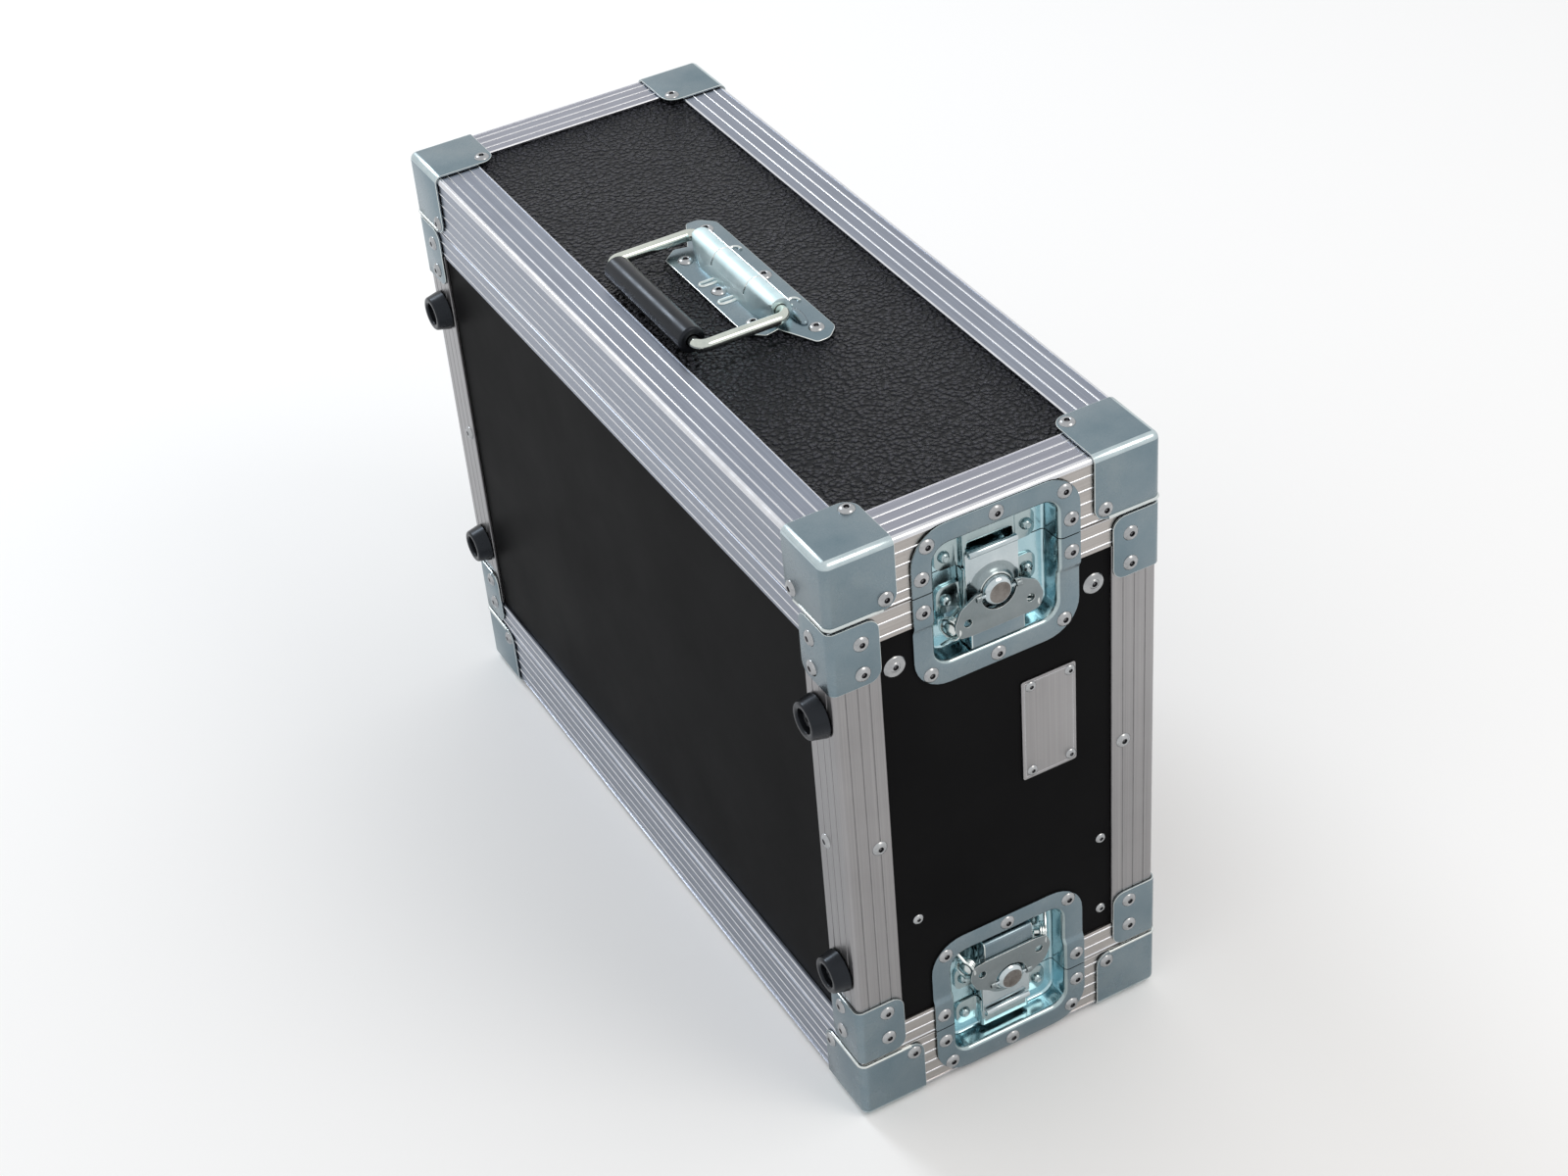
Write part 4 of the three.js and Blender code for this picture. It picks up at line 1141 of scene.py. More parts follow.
def add_lid_corners():
    cap = corner_cap()
    looks = [ZINC, ZINC_HIGHLIGHT, ZINC_BEND_HIGHLIGHT]
    past = PLATE_OUT, -CORNER_RIVET, -CORNER_RIVET
    for x, y, z, name in each_corner():
        lid = f"{LID_NAMES[z]}_lid"
        piece = at_corner(cap, x, y, z, HALF_HEIGHT)
        dress("pressed", f"lid_corner_{name}", piece, looks, lid)
        for turn, outward in enumerate((x * X, y * Y, z * Z)):
            past_x, past_y, past_z = (past[(i - turn) % 3] for i in range(3))
            point = x * (HALF_LENGTH + past_x), y * (HALF_WIDTH + past_y), z * (HALF_HEIGHT + past_z)
            add_rivet(lid, point, outward)


def brace_form():
    high = -BRACE_INSET
    low = high - BRACE_HEIGHT
    far = -BRACE_WIDTH - OUT_OF_CASE
    past = far - OVERCUT
    radius = EDGE_ROUND + PLATE_OUT
    outer = prism(rectangle(far, far, PLATE_OUT, PLATE_OUT, (0, 0, radius, 0)), "z", low, high)
    hollow = rectangle(past, past, GAP, GAP, (0, 0, radius - PLATE, 0))
    inner = prism(hollow, "z", low - OVERCUT, high + OVERCUT)
    leg = rectangle(-BRACE_WIDTH, low, OUT_OF_CASE, high, (BRACE_ROUND, 0, 0, BRACE_ROUND))
    return softened(pressed_shell(outer, inner, leg, "xy"))


def add_braces():
    brace = brace_form()
    for x, y, z, name in each_corner():
        piece = at_corner(brace, x, y, z, SEAM)
        dress("pressed", f"brace_{name}", piece, [ZINC, ZINC_HIGHLIGHT], "case_body")
        for drop in BRACE_RIVETS:
            add_rivet_pair(x, y, PLATE_OUT, BRACE_RIVET_EDGE, z * (SEAM - drop))


# Rubber feet and the bare name plate

def foot_form():
    """A tapered foot with a recess in its end, and the screw's head in the recess."""
    low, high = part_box("foot_front_right")
    height = high.y - low.y
    base = (high.z - low.z) / 2
    fillet = FOOT_FILLET
    floor = height - FOOT_DEPTH
    head, bevel, drive, bottom = (share * SCREW_RADIUS for share in SCREW_SHARES)
    profile = [
        (0, 0), (base - fillet / 2, 0), (base, fillet / 2), (base - fillet / 3, fillet * 2),
        *arc((base - FOOT_TAPER - fillet, height - fillet), fillet, *FOOT_ARC),
        *arc((FOOT_RECESS + fillet, height - fillet), fillet, 90, 180),
        (FOOT_RECESS - fillet / 4, floor), (head, floor), (head, floor + fillet / 3),
        (bevel, floor + fillet), (drive, floor + fillet), (bottom, floor), (0, floor),
    ]
    return moved(turned(profile, "y", sides=HUB_SIDES), Matrix.Scale(-1, 4, Y))


def add_feet():
    form = foot_form()
    for lid in LID_NAMES.values():
        for end in X_NAMES.values():
            node = f"foot_{lid}_{end}"
            low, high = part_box(node)
            middle = (low + high) / 2 - CENTRE
            piece = moved(form, Matrix.Translation((middle.x, high.y - CENTRE.y, middle.z)))
            dress("turned", node, piece, [RUBBER], "case_body")


def add_name_plate():
    low, high = (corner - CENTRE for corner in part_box("name_plate"))
    front = HALF_LENGTH - BOARD_INSET + GAP + NAME_SHEET

    def field(margin, from_x, to_x):
        radii = (max(NAME_ROUND - margin / 2, NAME_ROUND / 3),) * 4
        corners = rectangle(low.y + margin, low.z + margin, high.y - margin, high.z - margin, radii)
        return prism(corners, "x", from_x, to_x)

    inside = field(NAME_BORDER + NAME_LINE, front - OVERCUT, front + 2 * OVERCUT)
    line = cut(field(NAME_BORDER, front - ENGRAVING, front + OVERCUT), inside)
    plate = softened(cut(field(0, front - NAME_SHEET, front), line), NAME_EDGE)
    # The plate's bevels and the edges of its engraved line are painted light as a highlight.
    looks = [LIT_AND_SHADED_ALUMINIUM["upright"], RIDGE_HIGHLIGHT]
    dress("bare", "name_plate", plate, looks, "case_body")
    for y in (low.y + NAME_RIVET, high.y - NAME_RIVET):
        for z in (low.z + NAME_RIVET, high.z - NAME_RIVET):
            add_rivet("case_body", (front, y + NAME_RIVET_SHIFT, z), X, scale=SMALL_RIVET_SCALE)


# Latches, made once in their own directions and taken to the four places

def latch_places():
    """Each latch's lid and end, with the matrix that takes it to its place."""
    turns = {
        (1, 1): Matrix.Identity(4),
        (1, -1): Matrix.Rotation(math.pi, 4, "X"),
        (-1, 1): Matrix.Rotation(math.pi, 4, "Z"),
        (-1, -1): Matrix.Rotation(math.pi, 4, "Y"),
    }
    for (x, z), turn in turns.items():
        place = Matrix.Translation((x * HALF_LENGTH, 0, z * SEAM)) @ turn
        yield LID_NAMES[z], X_NAMES[x], place


def flange_level(z):
    """How far out the dish's flange lies: on the edging near the seam, on the board beyond its step."""
    share = min(max((STEP_TOP - z) / (STEP_TOP - STEP_END), 0), 1)
    smooth_share = share * share * (3 - 2 * share)
    return PLATE_OUT - smooth_share * BOARD_INSET


def dish_line(half, far, radius, drop, level=None):
    """A U-shaped line of the dish, from the seam round its far side and back to the seam."""
    sign = 1 if far > 0 else -1
    turn_z = far - sign * radius
    heights = [sign * DISH_SEAM]
    if sign < 0:
        heights += [STEP_TOP + (STEP_END - STEP_TOP) * step / ARC_STEPS for step in range(ARC_STEPS + 1)]
    bend = arc((half - radius, turn_z), radius, 0, sign * 90)
    line = both_sides([*[(half, height) for height in heights], *bend])
    return [(flange_level(z) - drop if level is None else level, y, z) for y, z in line]


def dish_look(middle):
    """The look of a dish's flange, of its shoulder painted with a soft highlight, and of its inside
    painted lighter and bluer as a reflection.
    """
    bent_share = (flange_level(middle.z) - middle.x) / FLANGE_BEND
    shoulder, inside = SHOULDER_SHARES
    if bent_share < shoulder:
        return SHEET_LOOK
    return MID_HIGHLIGHT_LOOK if bent_share < inside else INNER_LOOK


def dish_form(far):
    """A dish half pressed from one sheet: flange, rounded shoulder, wall, rounded foot and floor."""
    sign = 1 if far > 0 else -1
    pocket = far - sign * DISH_FLANGE

    def pocket_line(margin, drop, level=None):
        return dish_line(POCKET_HALF + margin, pocket + sign * margin, POCKET_ROUND + margin, drop, level)

    lines = []
    for inset, drop in DISH_EDGE:
        lines.append(dish_line(DISH_HALF - inset, far - sign * inset, DISH_ROUND - inset, drop))
    for inner, drop in arc((0, FLANGE_BEND), FLANGE_BEND, -90, 0, BEND_STEPS):
        lines.append(pocket_line(FLANGE_BEND - inner, drop))
    for inner, rise in arc((0, FLOOR_BEND), FLOOR_BEND, 180, 270, BEND_STEPS):
        lines.append(pocket_line(-WALL_DRAFT - FLOOR_BEND - inner, 0, rise - DISH_DEPTH))
    form = loft(lines, closed=False)
    form.verts.ensure_lookup_table()
    floor = form.faces.new(form.verts[-len(lines[0]):])
    painted_by(form, dish_look)
    bmesh.ops.recalc_face_normals(form, faces=form.faces)
    floor.normal_update()
    if floor.normal.x < 0:
        bmesh.ops.reverse_faces(form, faces=form.faces)
    return modified(form, "SOLIDIFY", thickness=PLATE, offset=-1, use_even_offset=True)


def channel_form(low, high, ear_low, ear_high):
    """A channel bent from sheet, with an ear on the dish floor at each side."""
    floor = -DISH_DEPTH
    bend = CHANNEL_BEND
    foot = (floor + SHEET + bend, LATCH_HALF + bend)
    crown = (HOUSING_TOP - bend, LATCH_HALF - bend)
    over = [(floor + SHEET, EAR_HALF), *arc(foot, bend, 180, 270), *arc(crown, bend, 90, 0)]
    under = [*arc(crown, bend - SHEET, 0, 90), *arc(foot, bend + SHEET, 270, 180), (floor, EAR_HALF)]
    left_over, left_under = ([(x, -y) for x, y in reversed(half)] for half in (over, under))
    section = [*over, *left_over, *left_under, *under]
    whole = prism(section, "z", min(low, ear_low), max(high, ear_high))
    middle = rectangle(-LATCH_HALF, low, LATCH_HALF, high)
    ears = rectangle(-EAR_HALF, ear_low, EAR_HALF, ear_high, (EAR_ROUND,) * 4)
    top = within(whole, prism(middle, "x", floor - OVERCUT, OUT_OF_CASE))
    feet = within(whole, prism(ears, "x", floor - OVERCUT, HOUSING_TOP - bend))
    return joined(top, feet)


def spring_form(side):
    """A torsion spring on its pin: a leg from the housing, the coil, and a leg on the dish floor, all
    painted in the light highlight zinc.
    """
    steps = SPRING_TURNS * COIL_STEPS
    length = SPRING_PITCH * SPRING_TURNS
    path = [(SPRING_X, side * LATCH_HALF, SPRING_Z + SPRING_RADIUS)]
    for step in range(steps + 1):
        turn = math.pi / 2 - 2 * math.pi * (SPRING_TURNS + 0.5) * step / steps
        x, z = SPRING_X + SPRING_RADIUS * math.cos(turn), SPRING_Z + SPRING_RADIUS * math.sin(turn)
        path.append((x, side * (SPRING_START + length * step / steps), z))
    leg_end = SPRING_Z - SPRING_LEG_SHARE * SPRING_RADIUS
    path.append((SPRING_X - SPRING_RADIUS + SPRING_WIRE, path[-1][1], leg_end))
    profile = [(0, -side * length), (SPRING_PIN, -side * length)]
    for share in SPRING_PIN_SHARES:
        profile.append((SPRING_PIN * share, side * (length + (1 - share) * SPRING_PIN / 3)))
    middle = Matrix.Translation((SPRING_X, side * SPRING_START, SPRING_Z))
    tilt = Matrix.Rotation(-side * SPRING_TILT, 4, "Z")
    spring = gathered(tube(path, SPRING_WIRE, WIRE_SIDES), turned(profile, "y", middle.translation))
    return painted(moved(spring, middle @ tilt @ middle.inverted()), PAINTED_LIGHT_LOOK)


def ear_rivets(ear_z):
    """The two plain round heads on the ears of a channel, painted lighter as a highlight."""
    crown = [(radius, height) for height, radius in arc((0, 0), EAR_HEAD, *EAR_HEAD_ARC, BEND_STEPS)]
    head = painted(turned([(0, 0), *crown, (0, EAR_HEAD / 2)], "x"), MID_HIGHLIGHT_LOOK)
    level = SHEET - DISH_DEPTH
    return [moved(head, Matrix.Translation((level, y * EAR_RIVET, ear_z))) for y in SIGNS]


def lower_plate_form(low):
    """The raised end of the housing, under the foot of the wing."""
    radii = 0, LOWER_PLATE_ROUND, LOWER_PLATE_ROUND, 0
    section = rectangle(HOUSING_TOP - SHEET / 2, low, LOWER_PLATE_LEVEL, LOWER_PLATE_END, radii)
    return softened(prism(section, "y", -LATCH_HALF, LATCH_HALF), DRAWN_EDGE, FINE_SEGMENTS)


def dome_form():
    """The dome drawn up round the hub, open below so that the hook can slide; its crest is painted light
    as a highlight and its slope painted darker as shade.
    """
    profile = [(DOME_INNER, HOOK_TOP - GAP)]
    for out_share, rise_share in DOME_SHARES:
        radius = DOME_INNER + out_share * (DOME_OUTER - DOME_INNER)
        profile.append((radius, HOOK_TOP + rise_share * DOME_HEIGHT))
    profile += [(DOME_OUTER, HOOK_TOP), (DOME_OUTER, HOOK_TOP - GAP)]
    rim = HOOK_TOP + DOME_RIM_SHARE * DOME_HEIGHT
    dome = turned(profile, "x", (0, 0, HUB_Z), DOME_SIDES)
    painted_by(dome, lambda middle: PAINTED_LIGHT_LOOK if middle.x > rim else INNER_LOOK)
    low = (-OUT_OF_CASE, -2 * OUT_OF_CASE, HUB_Z - 2 * OUT_OF_CASE)
    return cut(dome, block(low, (0, 2 * OUT_OF_CASE, HUB_Z - DOME_OPENING)))


def body_dish_form():
    """The body's dish with the housing, its springs and the raised plate."""
    ear_high = HUB_Z + EAR_HEIGHT / 3
    low = SHEET - DISH_BODY + DISH_FLANGE
    housing = channel_form(low, -GAP / 2 - SHEET, ear_high - EAR_HEIGHT, ear_high)
    shaft = rod("x", (0, HUB_Z), SHAFT_RADIUS + GAP, -DISH_DEPTH, 0, RIVET_SIDES)
    # The housing is painted in the lighter zinc, as a highlight.
    housing = softened(painted(cut(housing, shaft), MID_HIGHLIGHT_LOOK), CHANNEL_EDGE)
    springs = [spring_form(side) for side in SIGNS]
    rivets = ear_rivets(HUB_Z - EAR_HEIGHT / 6)
    return gathered(dish_form(-DISH_BODY), housing, lower_plate_form(low), *springs, *rivets)


def keeper_dish_form():
    """The lid's dish with its keeper: a bridge with a slot that the hook's bead enters."""
    low = GAP / 2 + SHEET
    bridge = channel_form(low, low + KEEPER_HEIGHT, GAP / 2, GAP / 2 + EAR_HEIGHT)
    slot_low = BEAD_Z - SLOT_BELOW_BEAD
    half = LATCH_HALF - SLOT_MARGIN
    slot = rectangle(-half, slot_low, half, slot_low + SLOT_HEIGHT, (SLOT_ROUND,) * 4)
    bridge = cut(bridge, prism(slot, "x", HOUSING_TOP - 2 * SHEET, 0))
    # The bridge is painted in the lighter zinc, as a highlight.
    bridge = softened(painted(bridge, MID_HIGHLIGHT_LOOK), CHANNEL_EDGE)
    return gathered(dish_form(DISH_LID), bridge, *ear_rivets((GAP + EAR_HEIGHT) / 2))


def hook_form():
    """The hook plate with its cam window, its rolled bead and its dome."""
    cam_z = HUB_Z - CAM_THROW
    half = CAM_RADIUS + CAM_THROW + GAP
    plate = rectangle(-HOOK_HALF, HOOK_END, HOOK_HALF, BEAD_Z, (HOOK_ROUND, HOOK_ROUND, 0, 0))
    window = rectangle(-half, cam_z - CAM_RADIUS - GAP, half, cam_z + CAM_RADIUS + GAP)
    opening = prism(window, "x", HOOK_BOTTOM - OVERCUT, HOOK_TOP + OVERCUT)
    plate = softened(cut(prism(plate, "x", HOOK_BOTTOM, HOOK_TOP), opening), HOOK_EDGE)
    centre = HOOK_BOTTOM + BEAD_RADIUS, BEAD_Z
    outer = arc(centre, BEAD_RADIUS, *BEAD_ARC, BEAD_STEPS)
    inner = arc(centre, BEAD_RADIUS * BEAD_HOLE_SHARE, *reversed(BEAD_ARC), BEAD_STEPS)
    bead_half = HOOK_HALF - BEAD_MARGIN
    bead = softened(prism([*outer, *inner], "y", -bead_half, bead_half), CHANNEL_EDGE)
    return gathered(plate, bead, dome_form())


def hub_form():
    """The hub: a turned shaft, swaged under the housing, with its cap, its cam and the wing's pins."""
    collar_top = HOUSING_TOP - SHEET - GAP
    face_radius = HUB_RADIUS - HUB_CHAMFER
    dip = HUB_CHAMFER / 6
    profile = [
        (0, collar_top - SHEET), (COLLAR_RADIUS, collar_top - SHEET), (COLLAR_RADIUS, collar_top),
        (SHAFT_RADIUS, collar_top), (SHAFT_RADIUS, CAP_BOTTOM), (HUB_RADIUS - dip, CAP_BOTTOM),
        (HUB_RADIUS, CAP_BOTTOM + dip), (HUB_RADIUS, CAP_TOP - HUB_CHAMFER - dip),
        (HUB_RADIUS - dip / 3, CAP_TOP - HUB_CHAMFER), (face_radius + dip / 3, CAP_TOP - dip / 3),
        (face_radius - dip, CAP_TOP), (face_radius - 3 * dip, CAP_TOP - dip),
        (face_radius / 2, CAP_TOP - 1.7 * dip), (0, CAP_TOP - 2 * dip),
    ]

    # The cap's flat face is in a darker, warmer steel than its side.
    def look_at(middle):
        on_face = middle.x > 0 and math.hypot(middle.y, middle.z - HUB_Z) < face_radius - dip
        return INNER_LOOK if on_face else SHEET_LOOK

    cap = painted_by(turned(profile, "x", (0, 0, HUB_Z), HUB_SIDES), look_at)
    cam = rod("x", (0, HUB_Z - CAM_THROW), CAM_RADIUS, HOOK_BOTTOM, CAP_BOTTOM + GAP, CAM_SIDES)
    pin_end = HUB_RADIUS + WING_CLEAR + KNUCKLE_WIDTH - GAP
    pin = rod("y", (WING_LEVEL, HUB_Z), PIN_RADIUS, -pin_end, pin_end, PIN_SIDES)
    return gathered(cap, softened(cam, PIN_EDGE), softened(pin, PIN_EDGE))


def wing_form():
    """The butterfly wing: a sheet with two lobes, and a rolled knuckle on each pin."""
    clear = HUB_RADIUS + WING_CLEAR
    shoulder = clear + KNUCKLE_WIDTH
    lobe = WING_HOLE_HALF + WING_LOBE
    corners = both_sides([
        (WING_FOOT_HALF, -WING_FOOT_DROP, WING_LOBE / 2),
        (lobe - WING_LOBE / 3, -WING_HOLE_DROP - WING_LOBE, WING_LOBE / 2),
        (lobe, -WING_HOLE_DROP, WING_LOBE),
        (WING_NECK_HALF, WING_NECK, WING_LOBE),
        (shoulder, WING_SHOULDER, 0),
    ])
    plan = [(y, HUB_Z + z) for y, z in outline(corners)]
    sheet = prism(plan, "x", WING_LEVEL - SHEET / 2, WING_LEVEL + SHEET / 2)
    through = -OUT_OF_CASE, OUT_OF_CASE
    hole_z = HUB_Z - WING_HOLE_DROP
    holes = [rod("x", (y * WING_HOLE_HALF, hole_z), WING_HOLE, *through, RIVET_SIDES) for y in SIGNS]
    hub = rod("x", (0, HUB_Z), clear, *through, HUB_SIDES)
    bore = PIN_RADIUS + GAP
    slot_low = (-OUT_OF_CASE, -shoulder - GAP, HUB_Z - bore)
    slot = block(slot_low, (OUT_OF_CASE, shoulder + GAP, HUB_Z + bore))
    knuckles = []
    for y in SIGNS:
        start, end = sorted((y * clear, y * shoulder))
        outer = bore + KNUCKLE_WALL
        ring = [(bore, start), (outer, start), (outer, end), (bore, end)]
        knuckles.append(softened(turned(ring, "y", (WING_LEVEL, 0, HUB_Z), KNUCKLE_SIDES), KNUCKLE_EDGE))
    return gathered(softened(cut(sheet, *holes, hub, slot), SHEET_EDGE, FINE_SEGMENTS), *knuckles)


def add_latches():
    dish_looks = [ZINC, ZINC_HIGHLIGHT, ZINC_INNER_REFLECTION, ZINC_MID_HIGHLIGHT]
    parts = {
        "dish": (body_dish_form(), dish_looks, "case_body"),
        "keeper_dish": (keeper_dish_form(), dish_looks, "{lid}_lid"),
        "hook": (hook_form(), [BRIGHT, ZINC_HIGHLIGHT, DOME_SHADE], "{lid}_{end}_hook"),
        "hub": (hub_form(), [BRIGHT, ZINC_HIGHLIGHT, HUB_FACE_STEEL], "{lid}_{end}_hub"),
        "wing": (wing_form(), [SATIN, ZINC_HIGHLIGHT], "{lid}_{end}_wing"),
    }
    for lid, end, place in latch_places():
        for part, (form, looks, body) in parts.items():
            node = f"latch_{lid}_{end}_{part}"
            dress("pressed", node, moved(form, place), looks, body.format(lid=lid, end=end))
        add_latch_rivets(lid, place)


def add_latch_rivets(lid, place):
    outward = place.to_3x3() @ X
    for body, sign, far in (("case_body", -1, -DISH_BODY), (f"{lid}_lid", 1, DISH_LID)):
        points = [(0, far - sign * DISH_RIVET_INSET)]
        for y in SIGNS:
            points.append((y * (DISH_HALF - DISH_RIVET_INSET), sign * DISH_RIVET_ROW))
            points.append((y * (DISH_HALF - DISH_CORNER_RIVET), far - sign * DISH_CORNER_RIVET))
        for y, z in points:
            add_rivet(body, place @ Vector((flange_level(z), y, z)), outward)


# Handle on the front lid

def handle_sizes():
    """The handle's place, read from its nodes: barrel row, pivot height, and the board it stands on."""
    plate_low, _ = (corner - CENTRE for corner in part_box("handle_plate"))
    grip_low, grip_high = (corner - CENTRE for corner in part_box("handle_grip"))
    barrel_y = plate_low.y + HANDLE_NEAR
    pivot_z = (grip_low.z + grip_high.z) / 2
    return barrel_y, pivot_z, plate_low.z, (grip_low.y + grip_high.y) / 2


def handle_outline(barrel_y):
    corners = both_sides([
        (HANDLE_NEAR_HALF, -HANDLE_NEAR, HANDLE_SMALL_ROUND),
        (HANDLE_FLANK_HALF, -HANDLE_FLANK, HANDLE_SMALL_ROUND),
        (HANDLE_WAIST_HALF, -HANDLE_WAIST, 0),
        (HANDLE_EAR_HALF, HANDLE_EAR, HANDLE_SMALL_ROUND),
        (HANDLE_EAR_HALF, (HANDLE_EAR + HANDLE_FAR) / 2, HANDLE_ROUND),
        (HANDLE_FAR_HALF, HANDLE_FAR, HANDLE_ROUND),
    ])
    return [(x, barrel_y + y) for x, y in outline(corners)]


def barrel_form(barrel_y, pivot_z, base):
    """The sheet drawn over the bail's rod: up a slope from the near side, round the rod, down a fillet. It
    is painted a light bluish white as a highlight, with a thin ridge along its far side painted as a
    brighter highlight.
    """
    foot = base + HANDLE_SHEET
    root = base + HANDLE_SHEET / 2
    fillet_y = BARREL_RADIUS + BARREL_FILLET
    fold = Vector((-SLOPE_REACH, foot - pivot_z))
    touch = 360 + math.degrees(math.atan2(fold.y, fold.x) - math.acos(BARREL_RADIUS / fold.length))
    section = [
        (fillet_y, root),
        *arc((fillet_y, foot + BARREL_FILLET), BARREL_FILLET, 270, 180),
        *arc((0, pivot_z), BARREL_RADIUS, 0, touch, COIL_STEPS),
        (-SLOPE_REACH, foot),
        (-SLOPE_REACH, root),
    ]
    slanted = prism([(barrel_y + y, z) for y, z in section], "x", -BARREL_HALF, BARREL_HALF)
    plan = both_sides([
        (SLOPE_HALF, -SLOPE_REACH), (BARREL_HALF, -SLOPE_REACH / 2), (BARREL_HALF, 2 * BARREL_RADIUS),
    ])
    keep = prism([(x, barrel_y + y) for x, y in plan], "z", base, pivot_z + 2 * BARREL_RADIUS)
    through = 2 * BARREL_HALF
    bore = rod("x", (barrel_y, pivot_z), BAIL_RADIUS + GAP, -through, through, BORE_SIDES)
    body = cut(within(slanted, keep), bore, *barrel_grooves((0, barrel_y, pivot_z)))
    line_y = barrel_y + BARREL_RADIUS * math.cos(BARREL_LINE)
    line_z = pivot_z + BARREL_RADIUS * math.sin(BARREL_LINE)
    line = tube([(x * BARREL_HALF, line_y, line_z) for x in SIGNS], LINE_RADIUS, WIRE_SIDES)
    return gathered(softened(painted(body, INNER_LOOK), ROD_EDGE), painted(line, PAINTED_LIGHT_LOOK))


def barrel_grooves(centre):
    """What is cut from the barrel for the two grooves round it."""
    top = BARREL_RADIUS + OVERCUT
    floor = BARREL_RADIUS - BARREL_GROOVE_DEPTH
    for x in (-BARREL_GROOVE, BARREL_GROOVE):
        yield turned([
            (top, x - BARREL_GROOVE_MOUTH), (top, x + BARREL_GROOVE_MOUTH),
            (floor, x + BARREL_GROOVE_FLOOR), (floor, x - BARREL_GROOVE_FLOOR),
        ], "x", centre, HUB_SIDES)


def hump_form(side, barrel_y, top):
    """The sheet drawn up behind the bail, where the barrel ends."""
    profile = [(radius * MM, height * MM) for radius, height in HUMP_POINTS_MM]
    hump = turned(profile, "x", (BARREL_HALF - HUMP_START, barrel_y + HUMP_REACH, top))
    return softened(moved(hump, Matrix.Scale(side, 4, X)), DRAWN_EDGE)


def embosses(barrel_y, top):
    """Loops beside the slope and rings near the far edge, painted light as highlights, and the humps where
    the barrel ends.
    """
    loop = [
        (-LOOP_HALF, OVERCUT - SLOPE_REACH),
        *arc((0, LOOP_HALF - LOOP_NEAR), LOOP_HALF, 180, 360, LOOP_STEPS),
        (LOOP_HALF, OVERCUT - SLOPE_REACH),
    ]
    for x in SIGNS:
        ring = arc((x * RING_X, HANDLE_FAR - RING_INSET), RING_RADIUS, *RING_ARC, COIL_STEPS)
        for line in ([(x * LOOP_X + dx, y) for dx, y in loop], ring):
            path = [(place, barrel_y + y, top) for place, y in line]
            yield painted(tube(path, EMBOSS_RADIUS, LIP_SIDES), PAINTED_LIGHT_LOOK)
        yield hump_form(x, barrel_y, top)


def add_handle_plate(barrel_y, pivot_z, base):
    top = base + HANDLE_SHEET
    plate = softened(prism(handle_outline(barrel_y), "z", base, top), SHEET_EDGE, FINE_SEGMENTS)
    form = gathered(plate, barrel_form(barrel_y, pivot_z, base), *embosses(barrel_y, top))
    dress("pressed", "handle_plate", form, [ZINC, ZINC_HIGHLIGHT, BARREL_HIGHLIGHT], "front_lid")
    for x, y in HANDLE_RIVETS_MM:
        add_rivet("front_lid", (x * MM, barrel_y + y * MM, top), Z)


def add_bail(barrel_y, pivot_z, grip_y):
    """The bail: one rod, turned in at both ends into the barrel."""
    bend = BAIL_BEND
    arm = BAIL_HALF - bend
    path = both_sides([
        (arm - BAIL_STUB, barrel_y),
        *arc((arm, barrel_y - bend), bend, 90, 0, BAIL_STEPS),
        *arc((arm, grip_y + bend), bend, 0, -90, BAIL_STEPS),
    ])
    form = softened(tube([(x, y, pivot_z) for x, y in path], BAIL_RADIUS, RIVET_SIDES), ROD_EDGE)
    dress("bent", "handle_bail", form, [ROD, ZINC_HIGHLIGHT], "handle")


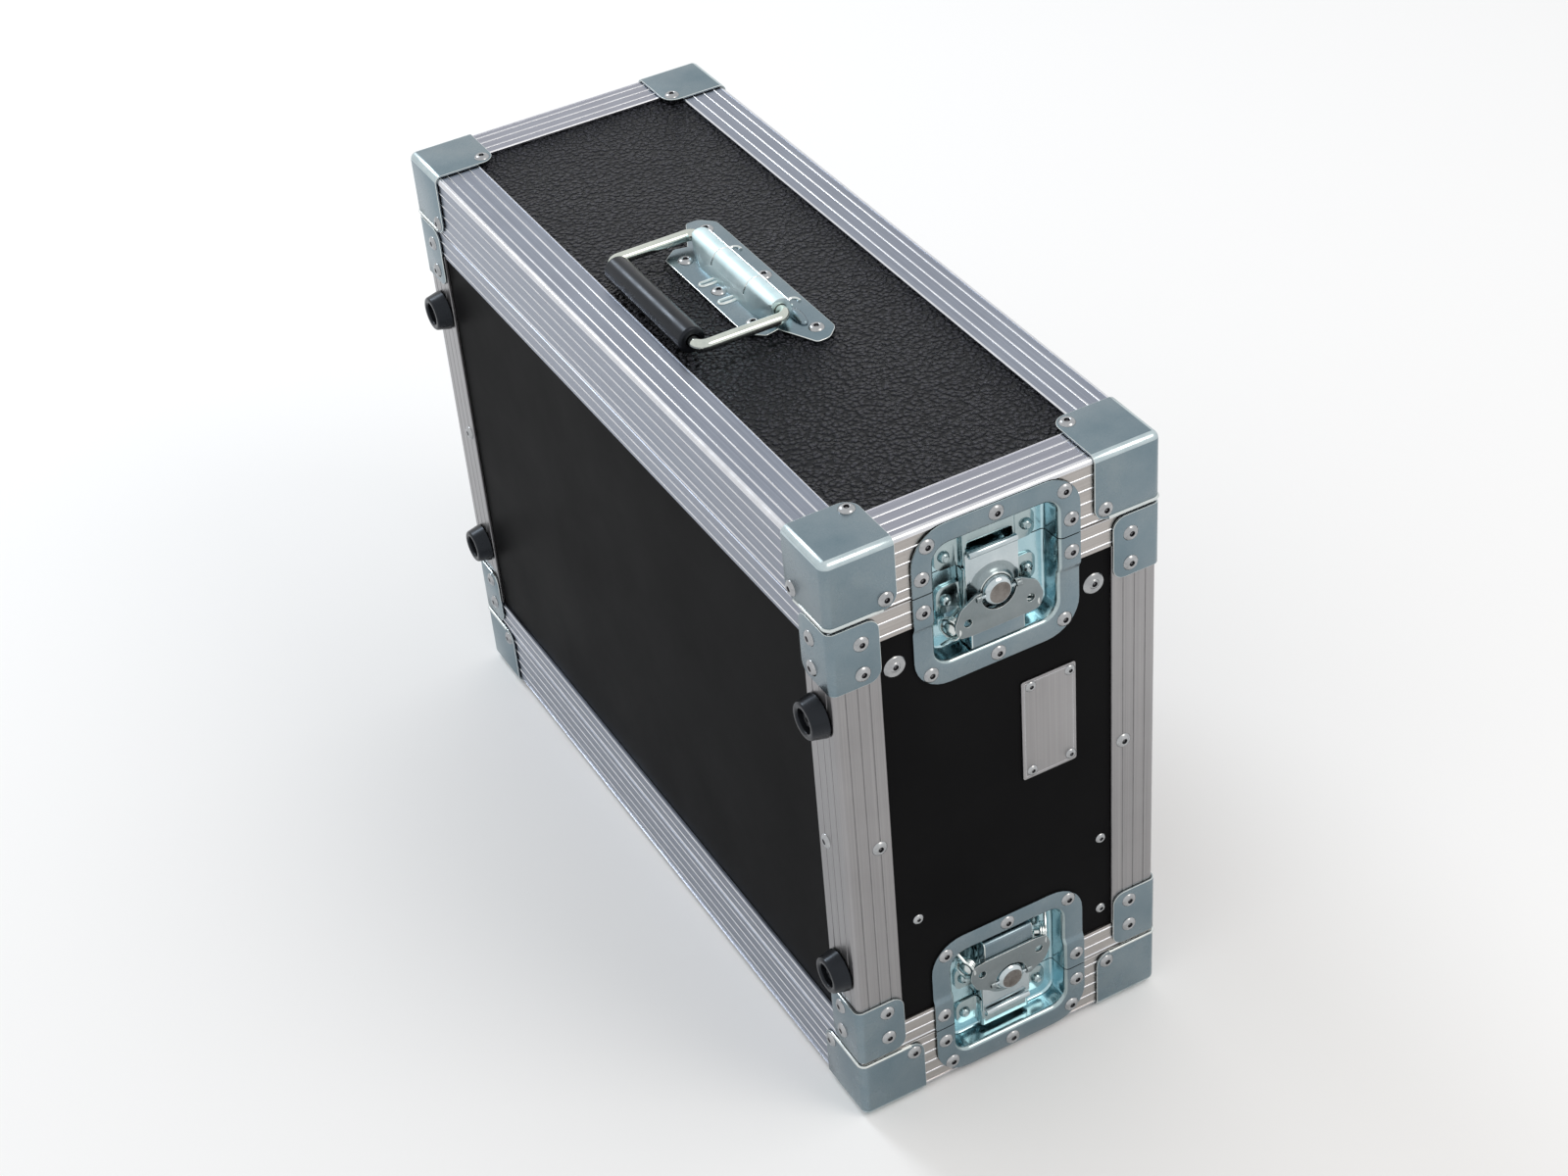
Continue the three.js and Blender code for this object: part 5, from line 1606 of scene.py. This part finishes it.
def add_grip(pivot_z, grip_y):
    """The rubber sleeve, rounded at both ends."""
    bore = BAIL_RADIUS + GAP
    half = BAIL_HALF - BAIL_BEND - GRIP_SHOULDER
    section = both_sides([
        (half - OVERCUT, bore), (half, bore + GRIP_CHAMFER),
        *arc((half - GRIP_ROUND, GRIP_RADIUS - GRIP_ROUND), GRIP_ROUND, 0, 90),
    ])
    ring = [(radius, x) for x, radius in section]
    form = turned(ring, "x", (0, grip_y, pivot_z), GRIP_SIDES)
    dress("moulded", "handle_grip", form, [GRIP_RUBBER], "handle")


def add_handle():
    barrel_y, pivot_z, base, grip_y = handle_sizes()
    add_handle_plate(barrel_y, pivot_z, base)
    add_bail(barrel_y, pivot_z, grip_y)
    add_grip(pivot_z, grip_y)


# Studio

def add_floor():
    look = Look("studio_floor", Base_Color=(0.9, 0.9, 0.9, 1), Roughness=0.9, Specular_IOR_Level=0.0)
    half = FLOOR_SIZE / 2
    level = base_low.z - PLATE_OUT - RIVET_HEIGHT
    corners = [(x, y, level) for x, y in rectangle(-half, -half, half, half)]
    mesh = mesh_of("studio_floor", form_of(corners, [range(4)]))
    mesh.materials.append(look.material)
    floor = placed("studio_floor", mesh)


def add_world():
    """Pale surroundings for the camera and for reflections, and a softer light on the case."""
    world = bpy.data.worlds.new("studio")
    bpy.context.scene.world = world
    world.use_nodes = True
    sky = Nodes(world.node_tree, "Background")
    rays = sky.node("ShaderNodeLightPath").outputs
    seen = rays["Is Camera Ray"]
    for ray in ("Is Glossy Ray", "Is Transmission Ray"):
        seen = sky.math("MAXIMUM", seen, rays[ray])
    sky.feed(sky.shader, Color=(1, 1, 1, 1), Strength=sky.range(seen, 0, 1, SKY_LIGHT, 1))


def add_lamp(name, direction, distance, size, power, colour):
    data = bpy.data.lights.new(name, "AREA")
    data.shape = "DISK"
    data.size = size
    data.energy = power
    data.color = colour
    lamp = placed(name, data)
    away = Vector(direction).normalized()
    lamp.location = CENTRE + away * distance
    lamp.rotation_euler = (-away).to_track_quat("-Z", "Y").to_euler()


def add_studio():
    add_floor()
    add_world()
    for name, settings in LAMPS.items():
        add_lamp(name, *settings)
    bpy.context.scene.view_settings.view_transform = "Standard"


place_camera()
dress_boards()
add_lid_edging()
add_rims()
add_edge_angles()
add_edge_rivets()
add_end_rivets()
add_lid_corners()
add_braces()
add_feet()
add_name_plate()
add_latches()
add_handle()
add_rivets()
add_studio()
